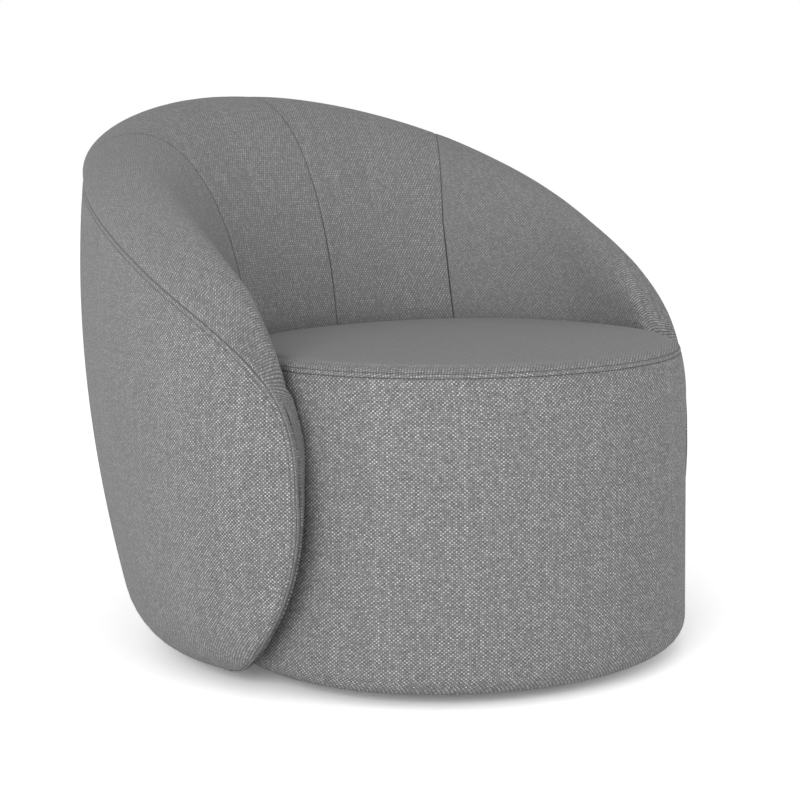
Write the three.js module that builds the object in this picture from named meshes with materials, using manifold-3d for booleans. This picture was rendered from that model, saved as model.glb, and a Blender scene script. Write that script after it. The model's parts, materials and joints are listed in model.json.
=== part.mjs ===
// Cuddle chair: a round upholstered drum seat wrapped by one padded shell, on a hidden swivel plinth.
// Millimetres, +Z up. The origin is on the floor on the swivel axis, and the sitter faces -Y.
import * as THREE from 'three';
import { mergeVertices } from 'three/addons/utils/BufferGeometryUtils.js';
import Module from 'manifold-3d';

const wasm = await Module();
wasm.setup();

// Fits and gaps
const seat_gap = 0.3;
const rib_gap = 11;
const rail_clearance = 0.9;
const wrap_gap = 4;
const cut_overrun = 2;

// Swivel plinth
const pad_radius = 225;
const pad_thickness = 4;
const plinth_radius = 235;
const plinth_thickness = 22;
const plate_width = 240;
const plate_thickness = 3;
const ball_diameter = 6;
const ball_circle_radius = 70;
const ball_count = 12;
const cage_width = 12;
const cage_thickness = 1.6;
const pin_radius = 8;
const pin_head_radius = 14;
const pin_head_thickness = 3;
const lower_bolt_margin = 22.4;
const upper_bolt_margin = 16;
const bolt_shank_radius = 2.5;
const bolt_hole_clearance = 0.4;
const bolt_head_radius = 5.5;
const bolt_head_height = 2.2;
const lower_bolt_length = 20;
const upper_bolt_length = 18;
const bolts_per_plate = 4;

// Where the swivel axis stands behind the middle of the drum
const swivel_set_back = 35;

// Chassis
const board_thickness = 18;
const board_setback = 4;
const board_wing_angle = 75;
const dust_cover_thickness = 1.2;
const dust_cover_inset = 8;

// Upholstery layers
const cover_thickness = 2;
const cloth_ease = 1.2;
const side_foam_thickness = 12;
const liner_thickness = 3;
const back_foam_share = 0.45;
const thin_wall_share = 0.3;

// Drum seat
const floor_gap = 15;
const drum_half_width = 343;
const drum_half_depth = 307;
const drum_flare = 7;
const drum_foot_radius = 33;
const seam_height = 429;
const seam_pinch = 7;
const seam_pinch_height = 60;
const seat_edge_rise = 12;
const seat_edge_radius = 20;
const seat_crown = 13;
const crown_shares = [0.68];
const drum_front_angle = 79;
const drum_foot_rows = [0, 0.12, 0.4, 1];
const drum_steps = 24;
const drum_rear_steps = 12;
const seat_foam_thickness = 100;
const seat_rail_depth = 45;
const seat_rail_height = 28;
const post_width = 40;
const post_count = 6;
const strap_width = 60;
const strap_thickness = 2;
const strap_overlap = 30;
const long_strap_count = 4;
const cross_strap_count = 3;
const strap_pitch = 110;

// Shell surfaces: half width, rear reach, waist (where it is widest) and front reach, at three heights
const shell_heights = { floor: 15, seat: 440, crest: 780 };
const outer_plan = {
  half_width: { floor: 414, seat: 454, crest: 408 },
  rear: { floor: 441, seat: 601, crest: 583 },
  waist: { floor: 110, seat: 129, crest: 202 },
  front: { floor: 405, seat: 391, crest: 370 },
};
const inner_plan = {
  half_width: { floor: 368, seat: 353, crest: 340 },
  rear: { floor: 429, seat: 271, crest: 410 },
  waist: { floor: 50, seat: 11, crest: 275 },
  front: { floor: 344, seat: 470, crest: 295 },
};
const shell_foot_height = 82;
const shell_foot_inset = 65;
const wing_foot_thickness = 20;

// Rim line from the middle of the back, over the wing tip, to the floor: shares of the wrap angle and height
const wrap_angle = 105.7;
const rim_drop = 49;
const rim_height = shell_heights.crest - rim_drop;
const rim_line_shares = [
  [0, 1],
  [0.184, 0.988],
  [0.369, 0.947],
  [0.568, 0.855],
  [0.766, 0.728],
  [0.918, 0.61],
  [1, 0.41],
  [0.97, 0.246],
  [0.912, 0.137],
  [0.9, 0.115],
];
const tip_point = 6;
const steps_per_point = 2;
const straight_sweep_angle = 50;
const tip_foot_angle = 79;
const wing_foot_power = 2.5;
const rim_roundness = 0.57;
const rim_crest_shift = 0.15;
const rim_steps = 5;
const seam_drop_share = 0.26;
const outer_row_shares = [0, 0.015, 0.045, 0.11, 0.27, 0.5, 0.75, 1];
const inner_row_shares = [1, 0.8, 0.6, 0.4, 0.2, 0];
const side_seam_point = 2;

// Shell frame
const cavity_inset = 40;
const liner_end_point = 4.5;
const outer_liner_first_row = 2;
const rail_end_point = 4;
const top_rail_thickness = 15;
const rib_thickness = 18;
const rib_points = [0, 1.5, 2.5, 3.5];
const rib_rows = 7;
const rib_least_depth = 12;
const rib_foot_steps = 24;

// Levels that follow from the sizes above
const plinth_bottom = pad_thickness + seat_gap;
const lower_plate_bottom = plinth_bottom + plinth_thickness + seat_gap;
const lower_plate_top = lower_plate_bottom + plate_thickness;
const race_bottom = lower_plate_top + seat_gap;
const upper_plate_bottom = race_bottom + ball_diameter + seat_gap;
const board_bottom = upper_plate_bottom + plate_thickness + seat_gap;
const board_top = board_bottom + board_thickness;
const frame_foot = board_top + seat_gap;
const seat_foam_bottom = seam_height - seat_foam_thickness;
const lower_strap_bottom = seat_foam_bottom - 2 * (strap_thickness + seat_gap);
const seat_rail_top = lower_strap_bottom - seat_gap;
const foam_depth = cover_thickness + cloth_ease;
const side_foam_depth = foam_depth + side_foam_thickness;
const liner_depth = side_foam_depth + seat_gap;
const rail_depth = liner_depth + liner_thickness + seat_gap;
const side_foam_top = seam_height - seat_edge_rise - seat_gap;
const wall_bottom = floor_gap + drum_foot_radius + foam_depth;

// Materials
const fabric = { color: 0x7b7b7b, roughness: 0.95, metalness: 0 };
const foam = { color: 0xe6dfb8, roughness: 0.9, metalness: 0 };
const plywood = { color: 0xc8a270, roughness: 0.7, metalness: 0 };
const hardboard = { color: 0x7a5230, roughness: 0.75, metalness: 0 };
const steel = { color: 0x9a9da1, roughness: 0.35, metalness: 1 };
const webbing = { color: 0x3c3a38, roughness: 0.9, metalness: 0 };
const felt = { color: 0x2c2c2c, roughness: 1, metalness: 0 };
const lining = { color: 0x1d1d1f, roughness: 0.95, metalness: 0 };

const chair = new THREE.Group();
const turning = new THREE.Group();
turning.position.y = -swivel_set_back;
chair.add(turning);

const radians = THREE.MathUtils.degToRad;

function addMesh(parent, name, geometry, look) {
  const mesh = new THREE.Mesh(geometry, new THREE.MeshStandardMaterial(look));
  mesh.name = name;
  parent.add(mesh);
  return mesh;
}

// Solids

function bareGeometry(geometry) {
  const bare = geometry.clone();
  bare.deleteAttribute('normal');
  bare.deleteAttribute('uv');
  return mergeVertices(bare);
}

function solidFrom(geometry) {
  const merged = bareGeometry(geometry);
  return new wasm.Manifold(new wasm.Mesh({
    numProp: 3,
    vertProperties: new Float32Array(merged.attributes.position.array),
    triVerts: new Uint32Array(merged.index.array),
  }));
}

function geometryFrom(solid) {
  const mesh = solid.getMesh();
  const geometry = new THREE.BufferGeometry();
  geometry.setAttribute('position', new THREE.BufferAttribute(mesh.vertProperties, mesh.numProp));
  geometry.setIndex(new THREE.BufferAttribute(mesh.triVerts, 1));
  geometry.computeVertexNormals();
  return geometry;
}

// A solid between two grids of points that have the same rows and columns; it may close on itself
function slab(front, back, closed = false) {
  const rows = front.length;
  const columns = front[0].length;
  const places = [];
  for (const grid of [front, back]) {
    for (const row of grid) {
      for (const point of row) places.push(point.x, point.y, point.z);
    }
  }
  const faces = [];
  const at = (layer, row, column) => (layer * rows + (row % rows)) * columns + column;
  const quad = (a, b, c, d) => faces.push(a, b, c, a, c, d);
  const lastRow = closed ? rows : rows - 1;
  for (let row = 0; row < lastRow; row += 1) {
    for (let column = 0; column < columns - 1; column += 1) {
      quad(at(0, row, column), at(0, row + 1, column), at(0, row + 1, column + 1), at(0, row, column + 1));
      quad(at(1, row, column), at(1, row, column + 1), at(1, row + 1, column + 1), at(1, row + 1, column));
    }
    quad(at(0, row, 0), at(1, row, 0), at(1, row + 1, 0), at(0, row + 1, 0));
    const end = columns - 1;
    quad(at(0, row, end), at(0, row + 1, end), at(1, row + 1, end), at(1, row, end));
  }
  if (!closed) {
    for (let column = 0; column < columns - 1; column += 1) {
      const last = rows - 1;
      quad(at(0, 0, column), at(0, 0, column + 1), at(1, 0, column + 1), at(1, 0, column));
      quad(at(0, last, column), at(1, last, column), at(1, last, column + 1), at(0, last, column + 1));
    }
  }
  return outward(places, faces);
}

// A geometry with its faces pointing out of the solid
function outward(places, faces) {
  let volume = 0;
  for (let index = 0; index < faces.length; index += 3) {
    const [a, b, c] = [0, 1, 2].map((corner) => new THREE.Vector3().fromArray(places, 3 * faces[index + corner]));
    volume += a.dot(b.cross(c));
  }
  if (volume < 0) {
    for (let index = 0; index < faces.length; index += 3) {
      [faces[index + 1], faces[index + 2]] = [faces[index + 2], faces[index + 1]];
    }
  }
  const geometry = new THREE.BufferGeometry();
  geometry.setAttribute('position', new THREE.Float32BufferAttribute(places, 3));
  geometry.setIndex(faces);
  geometry.computeVertexNormals();
  return geometry;
}

// A solid swept round the drum's own outline, closed by a point on the axis at its bottom and its top
function dome(profile, bottomHeight, topHeight) {
  const angles = roundAngles();
  const places = [];
  const faces = [];
  for (const angle of angles) {
    for (const { depth, share, height } of profile) {
      const spot = polar(drumReach(angle, Math.min(height, seam_height)) * share - depth, angle, height);
      places.push(spot.x, spot.y, spot.z);
    }
  }
  const count = profile.length;
  const bottom = places.length / 3;
  places.push(0, 0, bottomHeight);
  const top = bottom + 1;
  places.push(0, 0, topHeight);
  for (let step = 0; step < angles.length; step += 1) {
    const next = ((step + 1) % angles.length) * count;
    const here = step * count;
    faces.push(bottom, next, here);
    faces.push(top, here + count - 1, next + count - 1);
    for (let index = 0; index < count - 1; index += 1) {
      faces.push(here + index, next + index, next + index + 1);
      faces.push(here + index, next + index + 1, here + index + 1);
    }
  }
  return outward(places, faces);
}

// A flat board from an outline with round holes
function board(outline, holes, bottom, thickness) {
  const shape = new THREE.Shape(outline);
  for (const hole of holes) {
    const path = new THREE.Path();
    path.absarc(hole.x, hole.y, hole.radius, 0, 2 * Math.PI, true);
    shape.holes.push(path);
  }
  const geometry = new THREE.ExtrudeGeometry(shape, { depth: thickness, bevelEnabled: false, curveSegments: 8 });
  geometry.translate(0, 0, bottom);
  return geometry;
}

function disc(radius, bottom, thickness, sides = 48) {
  const geometry = new THREE.CylinderGeometry(radius, radius, thickness, sides);
  geometry.rotateX(Math.PI / 2);
  geometry.translate(0, 0, bottom + thickness / 2);
  return geometry;
}

function ringOfPlaces(count, radius, firstAngle) {
  return Array.from({ length: count }, (_, index) => {
    const angle = firstAngle + (2 * Math.PI * index) / count;
    return { x: radius * Math.cos(angle), y: radius * Math.sin(angle) };
  });
}

const lower_bolt_circle = Math.SQRT2 * (plate_width / 2 - lower_bolt_margin);
const upper_bolt_circle = plate_width / 2 - upper_bolt_margin;
const lower_bolt_places = ringOfPlaces(bolts_per_plate, lower_bolt_circle, Math.PI / bolts_per_plate);
const upper_bolt_places = ringOfPlaces(bolts_per_plate, upper_bolt_circle, 0);
const bolt_hole_radius = bolt_shank_radius + bolt_hole_clearance;
const boltHoles = (places) => places.map((place) => ({ ...place, radius: bolt_hole_radius }));

function bolt(length) {
  const head = new THREE.CylinderGeometry(bolt_head_radius, bolt_head_radius, bolt_head_height, 6);
  head.rotateX(Math.PI / 2);
  head.translate(0, 0, bolt_head_height / 2);
  const shank = new THREE.CylinderGeometry(bolt_shank_radius, bolt_shank_radius, length + bolt_head_height / 2, 10);
  shank.rotateX(Math.PI / 2);
  shank.translate(0, 0, bolt_head_height / 2 - (length + bolt_head_height / 2) / 2);
  return geometryFrom(solidFrom(head).add(solidFrom(shank)));
}

// Swivel plinth

function squareOutline(width) {
  const half = width / 2;
  return [
    new THREE.Vector2(-half, -half),
    new THREE.Vector2(half, -half),
    new THREE.Vector2(half, half),
    new THREE.Vector2(-half, half),
  ];
}

function circleOutline(radius, sides) {
  return ringOfPlaces(sides, radius, 0).map((place) => new THREE.Vector2(place.x, place.y));
}

function addPlinth() {
  addMesh(chair, 'floor_pad', disc(pad_radius, 0, pad_thickness), felt);
  const plinthOutline = circleOutline(plinth_radius, 48);
  const plinth = board(plinthOutline, boltHoles(lower_bolt_places), plinth_bottom, plinth_thickness);
  addMesh(chair, 'plinth_disc', plinth, plywood);
  const plate = squareOutline(plate_width);
  const lower = board(plate, boltHoles(lower_bolt_places), lower_plate_bottom, plate_thickness);
  addMesh(chair, 'swivel_lower_plate', lower, steel);
  lower_bolt_places.forEach((place, index) => {
    const mesh = addMesh(chair, `lower_plate_bolt_${index + 1}`, bolt(lower_bolt_length), steel);
    mesh.position.set(place.x, place.y, race_bottom);
  });
  addMesh(chair, 'ball_ring', ballRing(), steel);
  addMesh(chair, 'swivel_pin', swivelPin(), steel);
}

function ballRing() {
  const middle = race_bottom + ball_diameter / 2;
  const inner = ball_circle_radius - cage_width / 2;
  const outer = ball_circle_radius + cage_width / 2;
  const cage = new THREE.LatheGeometry([
    new THREE.Vector2(inner, -cage_thickness / 2),
    new THREE.Vector2(outer, -cage_thickness / 2),
    new THREE.Vector2(outer, cage_thickness / 2),
    new THREE.Vector2(inner, cage_thickness / 2),
    new THREE.Vector2(inner, -cage_thickness / 2),
  ], 24);
  cage.rotateX(Math.PI / 2);
  cage.translate(0, 0, middle);
  let solid = solidFrom(cage);
  for (const place of ringOfPlaces(ball_count, ball_circle_radius, 0)) {
    const ball = new THREE.SphereGeometry(ball_diameter / 2, 6, 4);
    ball.rotateX(Math.PI / 2);
    ball.translate(place.x, place.y, middle);
    solid = solid.add(solidFrom(ball));
  }
  return geometryFrom(solid);
}

function swivelPin() {
  const head_bottom = board_bottom;
  return latheSolid([
    [0, race_bottom],
    [pin_radius, race_bottom],
    [pin_radius, head_bottom],
    [pin_head_radius, head_bottom],
    [pin_head_radius, head_bottom + pin_head_thickness],
    [0, head_bottom + pin_head_thickness],
  ], 24);
}

function latheSolid(profile, sides) {
  const geometry = new THREE.LatheGeometry(profile.map(([radius, height]) => new THREE.Vector2(radius, height)), sides);
  geometry.rotateX(Math.PI / 2);
  return geometryFrom(solidFrom(geometry));
}

// Plan curves of the drum and the shell

// The value at a height of a quantity that is given at the floor, the seat and the crest
function atHeight(levels, height) {
  const { floor, seat, crest } = shell_heights;
  const low = ((height - seat) * (height - crest)) / ((floor - seat) * (floor - crest));
  const middle = ((height - floor) * (height - crest)) / ((seat - floor) * (seat - crest));
  const high = ((height - floor) * (height - seat)) / ((crest - floor) * (crest - seat));
  return levels.floor * low + levels.seat * middle + levels.crest * high;
}

// How far a ray from the axis reaches to an oval whose middle lies back from the axis
function ovalReach(angle, halfWidth, halfDepth, middle) {
  const [across, along] = [Math.sin(angle), Math.cos(angle)];
  const square = (across / halfWidth) ** 2 + (along / halfDepth) ** 2;
  const linear = (along * middle) / halfDepth ** 2;
  const constant = (middle / halfDepth) ** 2 - 1;
  return (linear + Math.sqrt(Math.max(linear ** 2 - square * constant, 0))) / square;
}

function planReach(plan, angle, height, inset) {
  const middle = atHeight(plan.waist, height);
  const halfWidth = atHeight(plan.half_width, height) - inset;
  const rear = ovalReach(angle, halfWidth, atHeight(plan.rear, height) - middle - inset, middle);
  if (rear * Math.cos(angle) >= middle) return rear;
  return ovalReach(angle, halfWidth, atHeight(plan.front, height) - inset, middle);
}

function drumOval(angle, height) {
  const flare = drum_flare * (0.5 - height / seam_height);
  const pinch = Math.max(0, (height - seam_height + seam_pinch_height) / seam_pinch_height);
  const off = flare - seam_pinch * pinch ** 2;
  return ovalReach(angle, drum_half_width + off, drum_half_depth + off, 0);
}

// The drum is an oval at the front and follows the back cushion behind
function drumReach(angle, height) {
  const behind = planReach(inner_plan, angle, seam_height, 0) - wrap_gap;
  return Math.min(drumOval(angle, height), behind);
}

function footInset(height, bottom, rise, inset) {
  const share = THREE.MathUtils.clamp((rise - (height - bottom)) / rise, 0, 1);
  return inset * (1 - Math.sqrt(1 - share ** 2));
}

// The two faces of the shell, at a depth under the cloth
function outerReach(angle, height, depth) {
  const foot = footInset(height, floor_gap + depth, shell_foot_height, shell_foot_inset);
  const room = planReach(outer_plan, angle, height, 0) - innerReach(angle, height, 0) - wing_foot_thickness;
  return planReach(outer_plan, angle, height, THREE.MathUtils.clamp(room, 0, foot)) - depth;
}

function innerReach(angle, height, depth) {
  const free = planReach(inner_plan, angle, height, 0);
  const wrapped = Math.min(free, drumReach(angle, drum_half_width / 2) + wrap_gap);
  const fade = THREE.MathUtils.smoothstep(height, seat_rail_top, seam_height);
  return THREE.MathUtils.lerp(wrapped, free, fade) + depth;
}

const polar = (reach, angle, height) => new THREE.Vector3(reach * Math.sin(angle), reach * Math.cos(angle), height);

// Shell stations along the rim line

const rim_points = rim_line_shares.map(([angle, height]) => (
  new THREE.Vector3(angle * radians(wrap_angle), height * rim_height / wrap_angle, 0)));
const rim_curve = new THREE.CatmullRomCurve3(rim_points, false, 'centripetal');
const last_point = rim_line_shares.length - 1;

function rimPlace(point) {
  const place = rim_curve.getPoint(THREE.MathUtils.clamp(point / last_point, 0, 1));
  return { angle: Math.max(place.x, 0), height: place.y * wrap_angle };
}

function footAngle(point, angle) {
  const straight = radians(straight_sweep_angle);
  if (angle < straight && point < tip_point) return angle;
  const start = side_seam_point;
  if (point <= tip_point) {
    const share = THREE.MathUtils.clamp((point - start) / (tip_point - start), 0, 1);
    return THREE.MathUtils.lerp(rimPlace(start).angle, radians(tip_foot_angle), share ** 0.8);
  }
  const share = (point - tip_point) / (last_point - tip_point);
  return THREE.MathUtils.lerp(radians(tip_foot_angle), rimPlace(last_point).angle, share ** wing_foot_power);
}

// The thickness of the shell at a place under its cloth
function shellThickness(angle, height) {
  return outerReach(angle, height, 0) - innerReach(angle, height, 0);
}

function wallDepths(angle, height) {
  const thickness = shellThickness(angle, height);
  return {
    outer: Math.min(side_foam_thickness, thin_wall_share * thickness),
    inner: back_foam_share * thickness,
  };
}

// One profile of the shell at a station: up the outside, over the rim and down the inside
function shellProfile(point, side, layer) {
  const rim = rimPlace(point);
  const foot = footAngle(point, rim.angle);
  const bottom = floor_gap + layer.depth;
  const innerBottom = point <= tip_point ? Math.max(frame_foot, bottom) : bottom;
  const run = Math.hypot(rim.height - bottom, (rim.angle - foot) * drum_half_width);
  const skipped = Math.min(0.9, layer.inset / run);
  const top = {
    angle: THREE.MathUtils.lerp(rim.angle, foot, skipped),
    height: Math.max(THREE.MathUtils.lerp(rim.height, bottom, skipped), bottom + seat_gap),
  };
  const place = (share, low) => ({
    angle: THREE.MathUtils.lerp(foot, top.angle, share),
    height: THREE.MathUtils.lerp(Math.min(low, top.height - seat_gap / 2), top.height, share),
  });
  const wallAt = (angle, height) => (layer.hollow ? wallDepths(angle, height) : { outer: 0, inner: 0 });
  const outerAt = ({ angle, height }) => {
    const depth = layer.depth + layer.extra + wallAt(angle, height).outer;
    return polar(outerReach(angle, height, depth), angle, height);
  };
  const innerAt = ({ angle, height }) => {
    const depth = layer.depth + layer.extra + wallAt(angle, height).inner;
    return polar(innerReach(angle, height, depth), angle, height);
  };
  const outer = outer_row_shares.map((share) => outerAt(place(share, bottom)));
  const inner = inner_row_shares.map((share) => innerAt(place(share, innerBottom)));
  const edge = [outer[outer.length - 1], inner[0]];
  const middle = edge[0].clone().add(edge[1]).multiplyScalar(0.5);
  const half = edge[0].clone().sub(edge[1]).multiplyScalar(0.5);
  const out = rimDirection(point, half);
  const round = rim_roundness * (shellThickness(rim.angle, rim.height) / 2);
  const tall = layer.hollow ? Math.min(half.length() * rim_roundness, run * (1 - skipped) / 2)
    : Math.max(round - layer.depth, seat_gap);
  const arc = [];
  for (let step = 1; step < rim_steps; step += 1) {
    const turn = (Math.PI * step) / rim_steps;
    const along = Math.cos(turn) + rim_crest_shift * Math.sin(turn) ** 2;
    const spot = middle.clone().addScaledVector(half, along).addScaledVector(out, tall * Math.sin(turn));
    spot.z = Math.max(spot.z, bottom);
    arc.push(spot);
  }
  const mirror = new THREE.Vector3(side, 1, 1);
  return {
    outer: outer.map((spot) => spot.multiply(mirror)),
    rim: arc.map((spot) => spot.multiply(mirror)),
    inner: inner.map((spot) => spot.multiply(mirror)),
  };
}

// The direction in which the rim swells, square to the rim line and to the wall
function rimDirection(point, half) {
  const step = 0.1;
  const middleAt = (place) => {
    const rim = rimPlace(Math.abs(place));
    const reach = (outerReach(rim.angle, rim.height, 0) + innerReach(rim.angle, rim.height, 0)) / 2;
    const spot = polar(reach, rim.angle, rim.height);
    if (place < 0) spot.x *= -1;
    return spot;
  };
  const after = middleAt(Math.min(point + step, last_point));
  const along = after.sub(middleAt(Math.min(point, last_point) - step));
  const out = new THREE.Vector3().crossVectors(along, half).normalize();
  return out;
}

// The stations between two places on the rim line; a negative place is on the sitter's right
function stations(first, last) {
  const list = [];
  const count = Math.round((last - first) * steps_per_point);
  for (let step = 0; step <= count; step += 1) {
    const place = first + step / steps_per_point;
    list.push({ point: Math.abs(place), side: place < 0 ? -1 : 1 });
  }
  return list;
}

const skinLayer = (depth) => ({ depth, inset: 0, extra: 0, hollow: false });
const cavity_layer = {
  depth: foam_depth,
  inset: cavity_inset,
  extra: 0,
  hollow: true,
};

function profileGrid(list, layer, pick) {
  return list.map(({ point, side }) => pick(shellProfile(point, side, layer), point));
}

// The rim seam lies a little below the rim line on the outside, at a share of the last row
function seamShare({ outer }, point) {
  const rim = rimPlace(point);
  const drop = (seam_drop_share * shellThickness(rim.angle, rim.height)) / 2;
  const last = outer.length - 1;
  return Math.min(drop / outer[last].distanceTo(outer[last - 1]), 0.8);
}

function seamSpot({ outer }, share) {
  const last = outer.length - 1;
  return outer[last].clone().lerp(outer[last - 1], share);
}

// The outside's rows with the seam among them
function outerRows(profile, point) {
  const seam = seamSpot(profile, seamShare(profile, point));
  return [...profile.outer.slice(0, -1), seam, profile.outer.at(-1)];
}

function wholeProfile(profile, point) {
  return [...outerRows(profile, point), ...profile.rim, ...profile.inner];
}

function outsidePart(profile, point) {
  const last = profile.outer.length - 1;
  const slack = seat_gap / profile.outer[last].distanceTo(profile.outer[last - 1]);
  return [...profile.outer.slice(0, last), seamSpot(profile, seamShare(profile, point) + slack)];
}

function insidePart(profile, point) {
  const seam = seamSpot(profile, seamShare(profile, point));
  return [seam, profile.outer.at(-1), ...profile.rim, ...profile.inner];
}

// Two panels that meet at a seam keep half a gap each from it
function trimmed(grid, start, end) {
  const rows = grid.map((row) => row.map((spot) => spot.clone()));
  const pull = (row, towards) => rows[row].forEach((spot, column) => {
    const other = grid[towards][column];
    const length = spot.distanceTo(other);
    spot.lerp(other, Math.min(seat_gap / Math.max(length, seat_gap), 0.4));
  });
  if (start) pull(0, 1);
  if (end) pull(rows.length - 1, rows.length - 2);
  return rows;
}

function shellSlab(first, last, frontLayer, backLayer, pick) {
  const list = stations(first, last);
  const start = first > -last_point;
  const end = last < last_point;
  const front = trimmed(profileGrid(list, frontLayer, pick), start, end);
  const back = trimmed(profileGrid(list, backLayer, pick), start, end);
  return slab(front, back);
}

const shell_spans = {
  left_end: [-last_point, -side_seam_point],
  left_centre: [-side_seam_point, 0],
  right_centre: [0, side_seam_point],
  right_end: [side_seam_point, last_point],
};

function addShellUpholstery() {
  const cloth = [skinLayer(0), skinLayer(cover_thickness)];
  addMesh(turning, 'shell_outside_cover', shellSlab(-last_point, last_point, ...cloth, outsidePart), fabric);
  for (const [name, span] of Object.entries(shell_spans)) {
    addMesh(turning, `shell_inside_cover_${name}`, shellSlab(...span, ...cloth, insidePart), fabric);
  }
  const pad = [skinLayer(foam_depth), cavity_layer];
  const foams = {
    left: [-last_point, -side_seam_point],
    back: [-side_seam_point, side_seam_point],
    right: [side_seam_point, last_point],
  };
  for (const [name, span] of Object.entries(foams)) {
    addMesh(turning, `shell_foam_${name}`, shellSlab(...span, ...pad, wholeProfile), foam);
  }
}

// Shell frame: two liners, ribs and a top rail inside the foam

// A liner lies on the wall of the foam's hollow, row by row
function liner(wall) {
  const list = stations(-liner_end_point, liner_end_point);
  const rows = (extra) => profileGrid(list, { ...cavity_layer, extra }, (profile, point) => (
    wall === 'outer' ? outerRows(profile, point).slice(outer_liner_first_row) : profile.inner));
  return slab(rows(seat_gap), rows(seat_gap + liner_thickness));
}

function frameDepths(angle, height) {
  const walls = wallDepths(angle, height);
  const extra = foam_depth + liner_thickness + seat_gap + rib_gap;
  return { outer: walls.outer + extra, inner: walls.inner + extra };
}

// The height of the top rail's underside over an angle, along the straight runs between its stations
function railBottom(angle) {
  const places = stations(0, rail_end_point).map(({ point }) => rimPlace(point));
  const next = Math.max(1, places.findIndex((place) => place.angle >= angle));
  const [before, after] = [places[next - 1], places[next]];
  const share = (angle - before.angle) / (after.angle - before.angle);
  const height = THREE.MathUtils.lerp(before.height, after.height, share);
  return height - cavity_inset - rib_gap - top_rail_thickness;
}

// The lowest height at which the hollow behind the liners is deep enough for a rib
function ribFoot(angle) {
  const heights = Array.from({ length: rib_foot_steps }, (_, step) => (
    THREE.MathUtils.lerp(frame_foot, seat_rail_top, step / rib_foot_steps)));
  return heights.find((height) => {
    const depths = frameDepths(angle, height);
    const room = outerReach(angle, height, depths.outer) - innerReach(angle, height, depths.inner);
    return room > rib_least_depth;
  });
}

// One upright edge of a rib, from the chassis board up to the underside of the top rail
function ribEdge(angle, side, shift, reachAt) {
  const foot = ribFoot(angle);
  let top = railBottom(angle);
  for (let turn = 0; turn < rib_rows; turn += 1) {
    const turned = side * angle + Math.atan(shift / reachAt(angle, top));
    top = railBottom(Math.abs(turned)) - rail_clearance;
  }
  const turn = new THREE.Vector3(0, 0, 1);
  return Array.from({ length: rib_rows + 1 }, (_, row) => {
    const height = THREE.MathUtils.lerp(foot, top, row / rib_rows);
    const spot = new THREE.Vector3(shift, reachAt(angle, height), height);
    return spot.applyAxisAngle(turn, -side * angle);
  });
}

function rib(point, side) {
  const turned = rimPlace(point).angle;
  const outer = (angle, height) => outerReach(angle, height, frameDepths(angle, height).outer);
  const inner = (angle, height) => innerReach(angle, height, frameDepths(angle, height).inner);
  const half = rib_thickness / 2;
  const [front, back] = [outer, inner].map((reachAt) => (
    [-half, half].map((shift) => ribEdge(turned, side, shift, reachAt))));
  return slab(front, back);
}

function topRail() {
  const list = stations(-rail_end_point, rail_end_point);
  const grid = (drop) => list.map(({ point, side }) => {
    const { angle, height } = rimPlace(point);
    const top = height - cavity_inset - rib_gap - drop;
    const depths = frameDepths(angle, top);
    const outer = outerReach(angle, top, depths.outer);
    const inner = innerReach(angle, top, depths.inner);
    return [outer, inner].map((reach) => {
      const spot = polar(reach, angle, top);
      spot.x *= side;
      return spot;
    });
  });
  return slab(grid(0), grid(top_rail_thickness));
}

function addShellFrame() {
  addMesh(turning, 'shell_outer_liner', liner('outer'), hardboard);
  addMesh(turning, 'shell_inner_liner', liner('inner'), hardboard);
  addMesh(turning, 'shell_top_rail', topRail(), plywood);
  const [middle, ...others] = rib_points;
  addMesh(turning, 'shell_rib_centre', rib(middle, 1), plywood);
  others.forEach((point, index) => {
    addMesh(turning, `shell_rib_left_${index + 1}`, rib(point, -1), plywood);
    addMesh(turning, `shell_rib_right_${index + 1}`, rib(point, 1), plywood);
  });
}

// Chassis board and the turning half of the swivel

function boardReach(angle) {
  const turn = Math.abs(angle);
  const front = drumSkin(angle, board_bottom, liner_depth + board_setback);
  if (turn > radians(board_wing_angle)) return front;
  return outerReach(turn, board_bottom, frameDepths(turn, board_bottom).outer - rib_gap) - board_setback;
}

function boardOutline(inset) {
  const spots = [];
  const wing = radians(board_wing_angle);
  const add = (angle) => {
    const reach = boardReach(angle) - inset;
    spots.push(new THREE.Vector2(reach * Math.sin(angle), reach * Math.cos(angle)));
  };
  for (let step = 0; step <= drum_steps / 2; step += 1) add(wing * ((4 * step) / drum_steps - 1));
  drumAngles().forEach(add);
  return spots.reverse();
}

function addChassis() {
  const shift = swivel_set_back;
  const holes = boltHoles(upper_bolt_places.map((place) => ({ x: place.x, y: place.y + shift })));
  const pinHole = { x: 0, y: shift, radius: pin_head_radius + cut_overrun };
  const chassis = board(boardOutline(0), [pinHole, ...holes], board_bottom, board_thickness);
  addMesh(turning, 'chassis_board', chassis, plywood);
  const plateHoles = [{ x: 0, y: 0, radius: pin_radius + seat_gap }, ...boltHoles(upper_bolt_places)];
  const plate = board(squareOutline(plate_width), plateHoles, upper_plate_bottom, plate_thickness);
  addMesh(turning, 'swivel_upper_plate', plate, steel).position.y = shift;
  upper_bolt_places.forEach((place, index) => {
    const mesh = addMesh(turning, `upper_plate_bolt_${index + 1}`, bolt(upper_bolt_length), steel);
    mesh.rotation.x = Math.PI;
    mesh.position.set(place.x, place.y + shift, upper_plate_bottom - seat_gap);
  });
  const sheet = new THREE.Shape(boardOutline(dust_cover_inset));
  const hole = squareOutline(plate_width + 2 * cut_overrun);
  hole.forEach((spot) => { spot.y += shift; });
  sheet.holes.push(new THREE.Path(hole));
  const dust = new THREE.ExtrudeGeometry(sheet, { depth: dust_cover_thickness, bevelEnabled: false });
  dust.translate(0, 0, board_bottom - seat_gap - dust_cover_thickness);
  addMesh(turning, 'dust_cover', dust, lining);
}

// Drum seat

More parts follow.
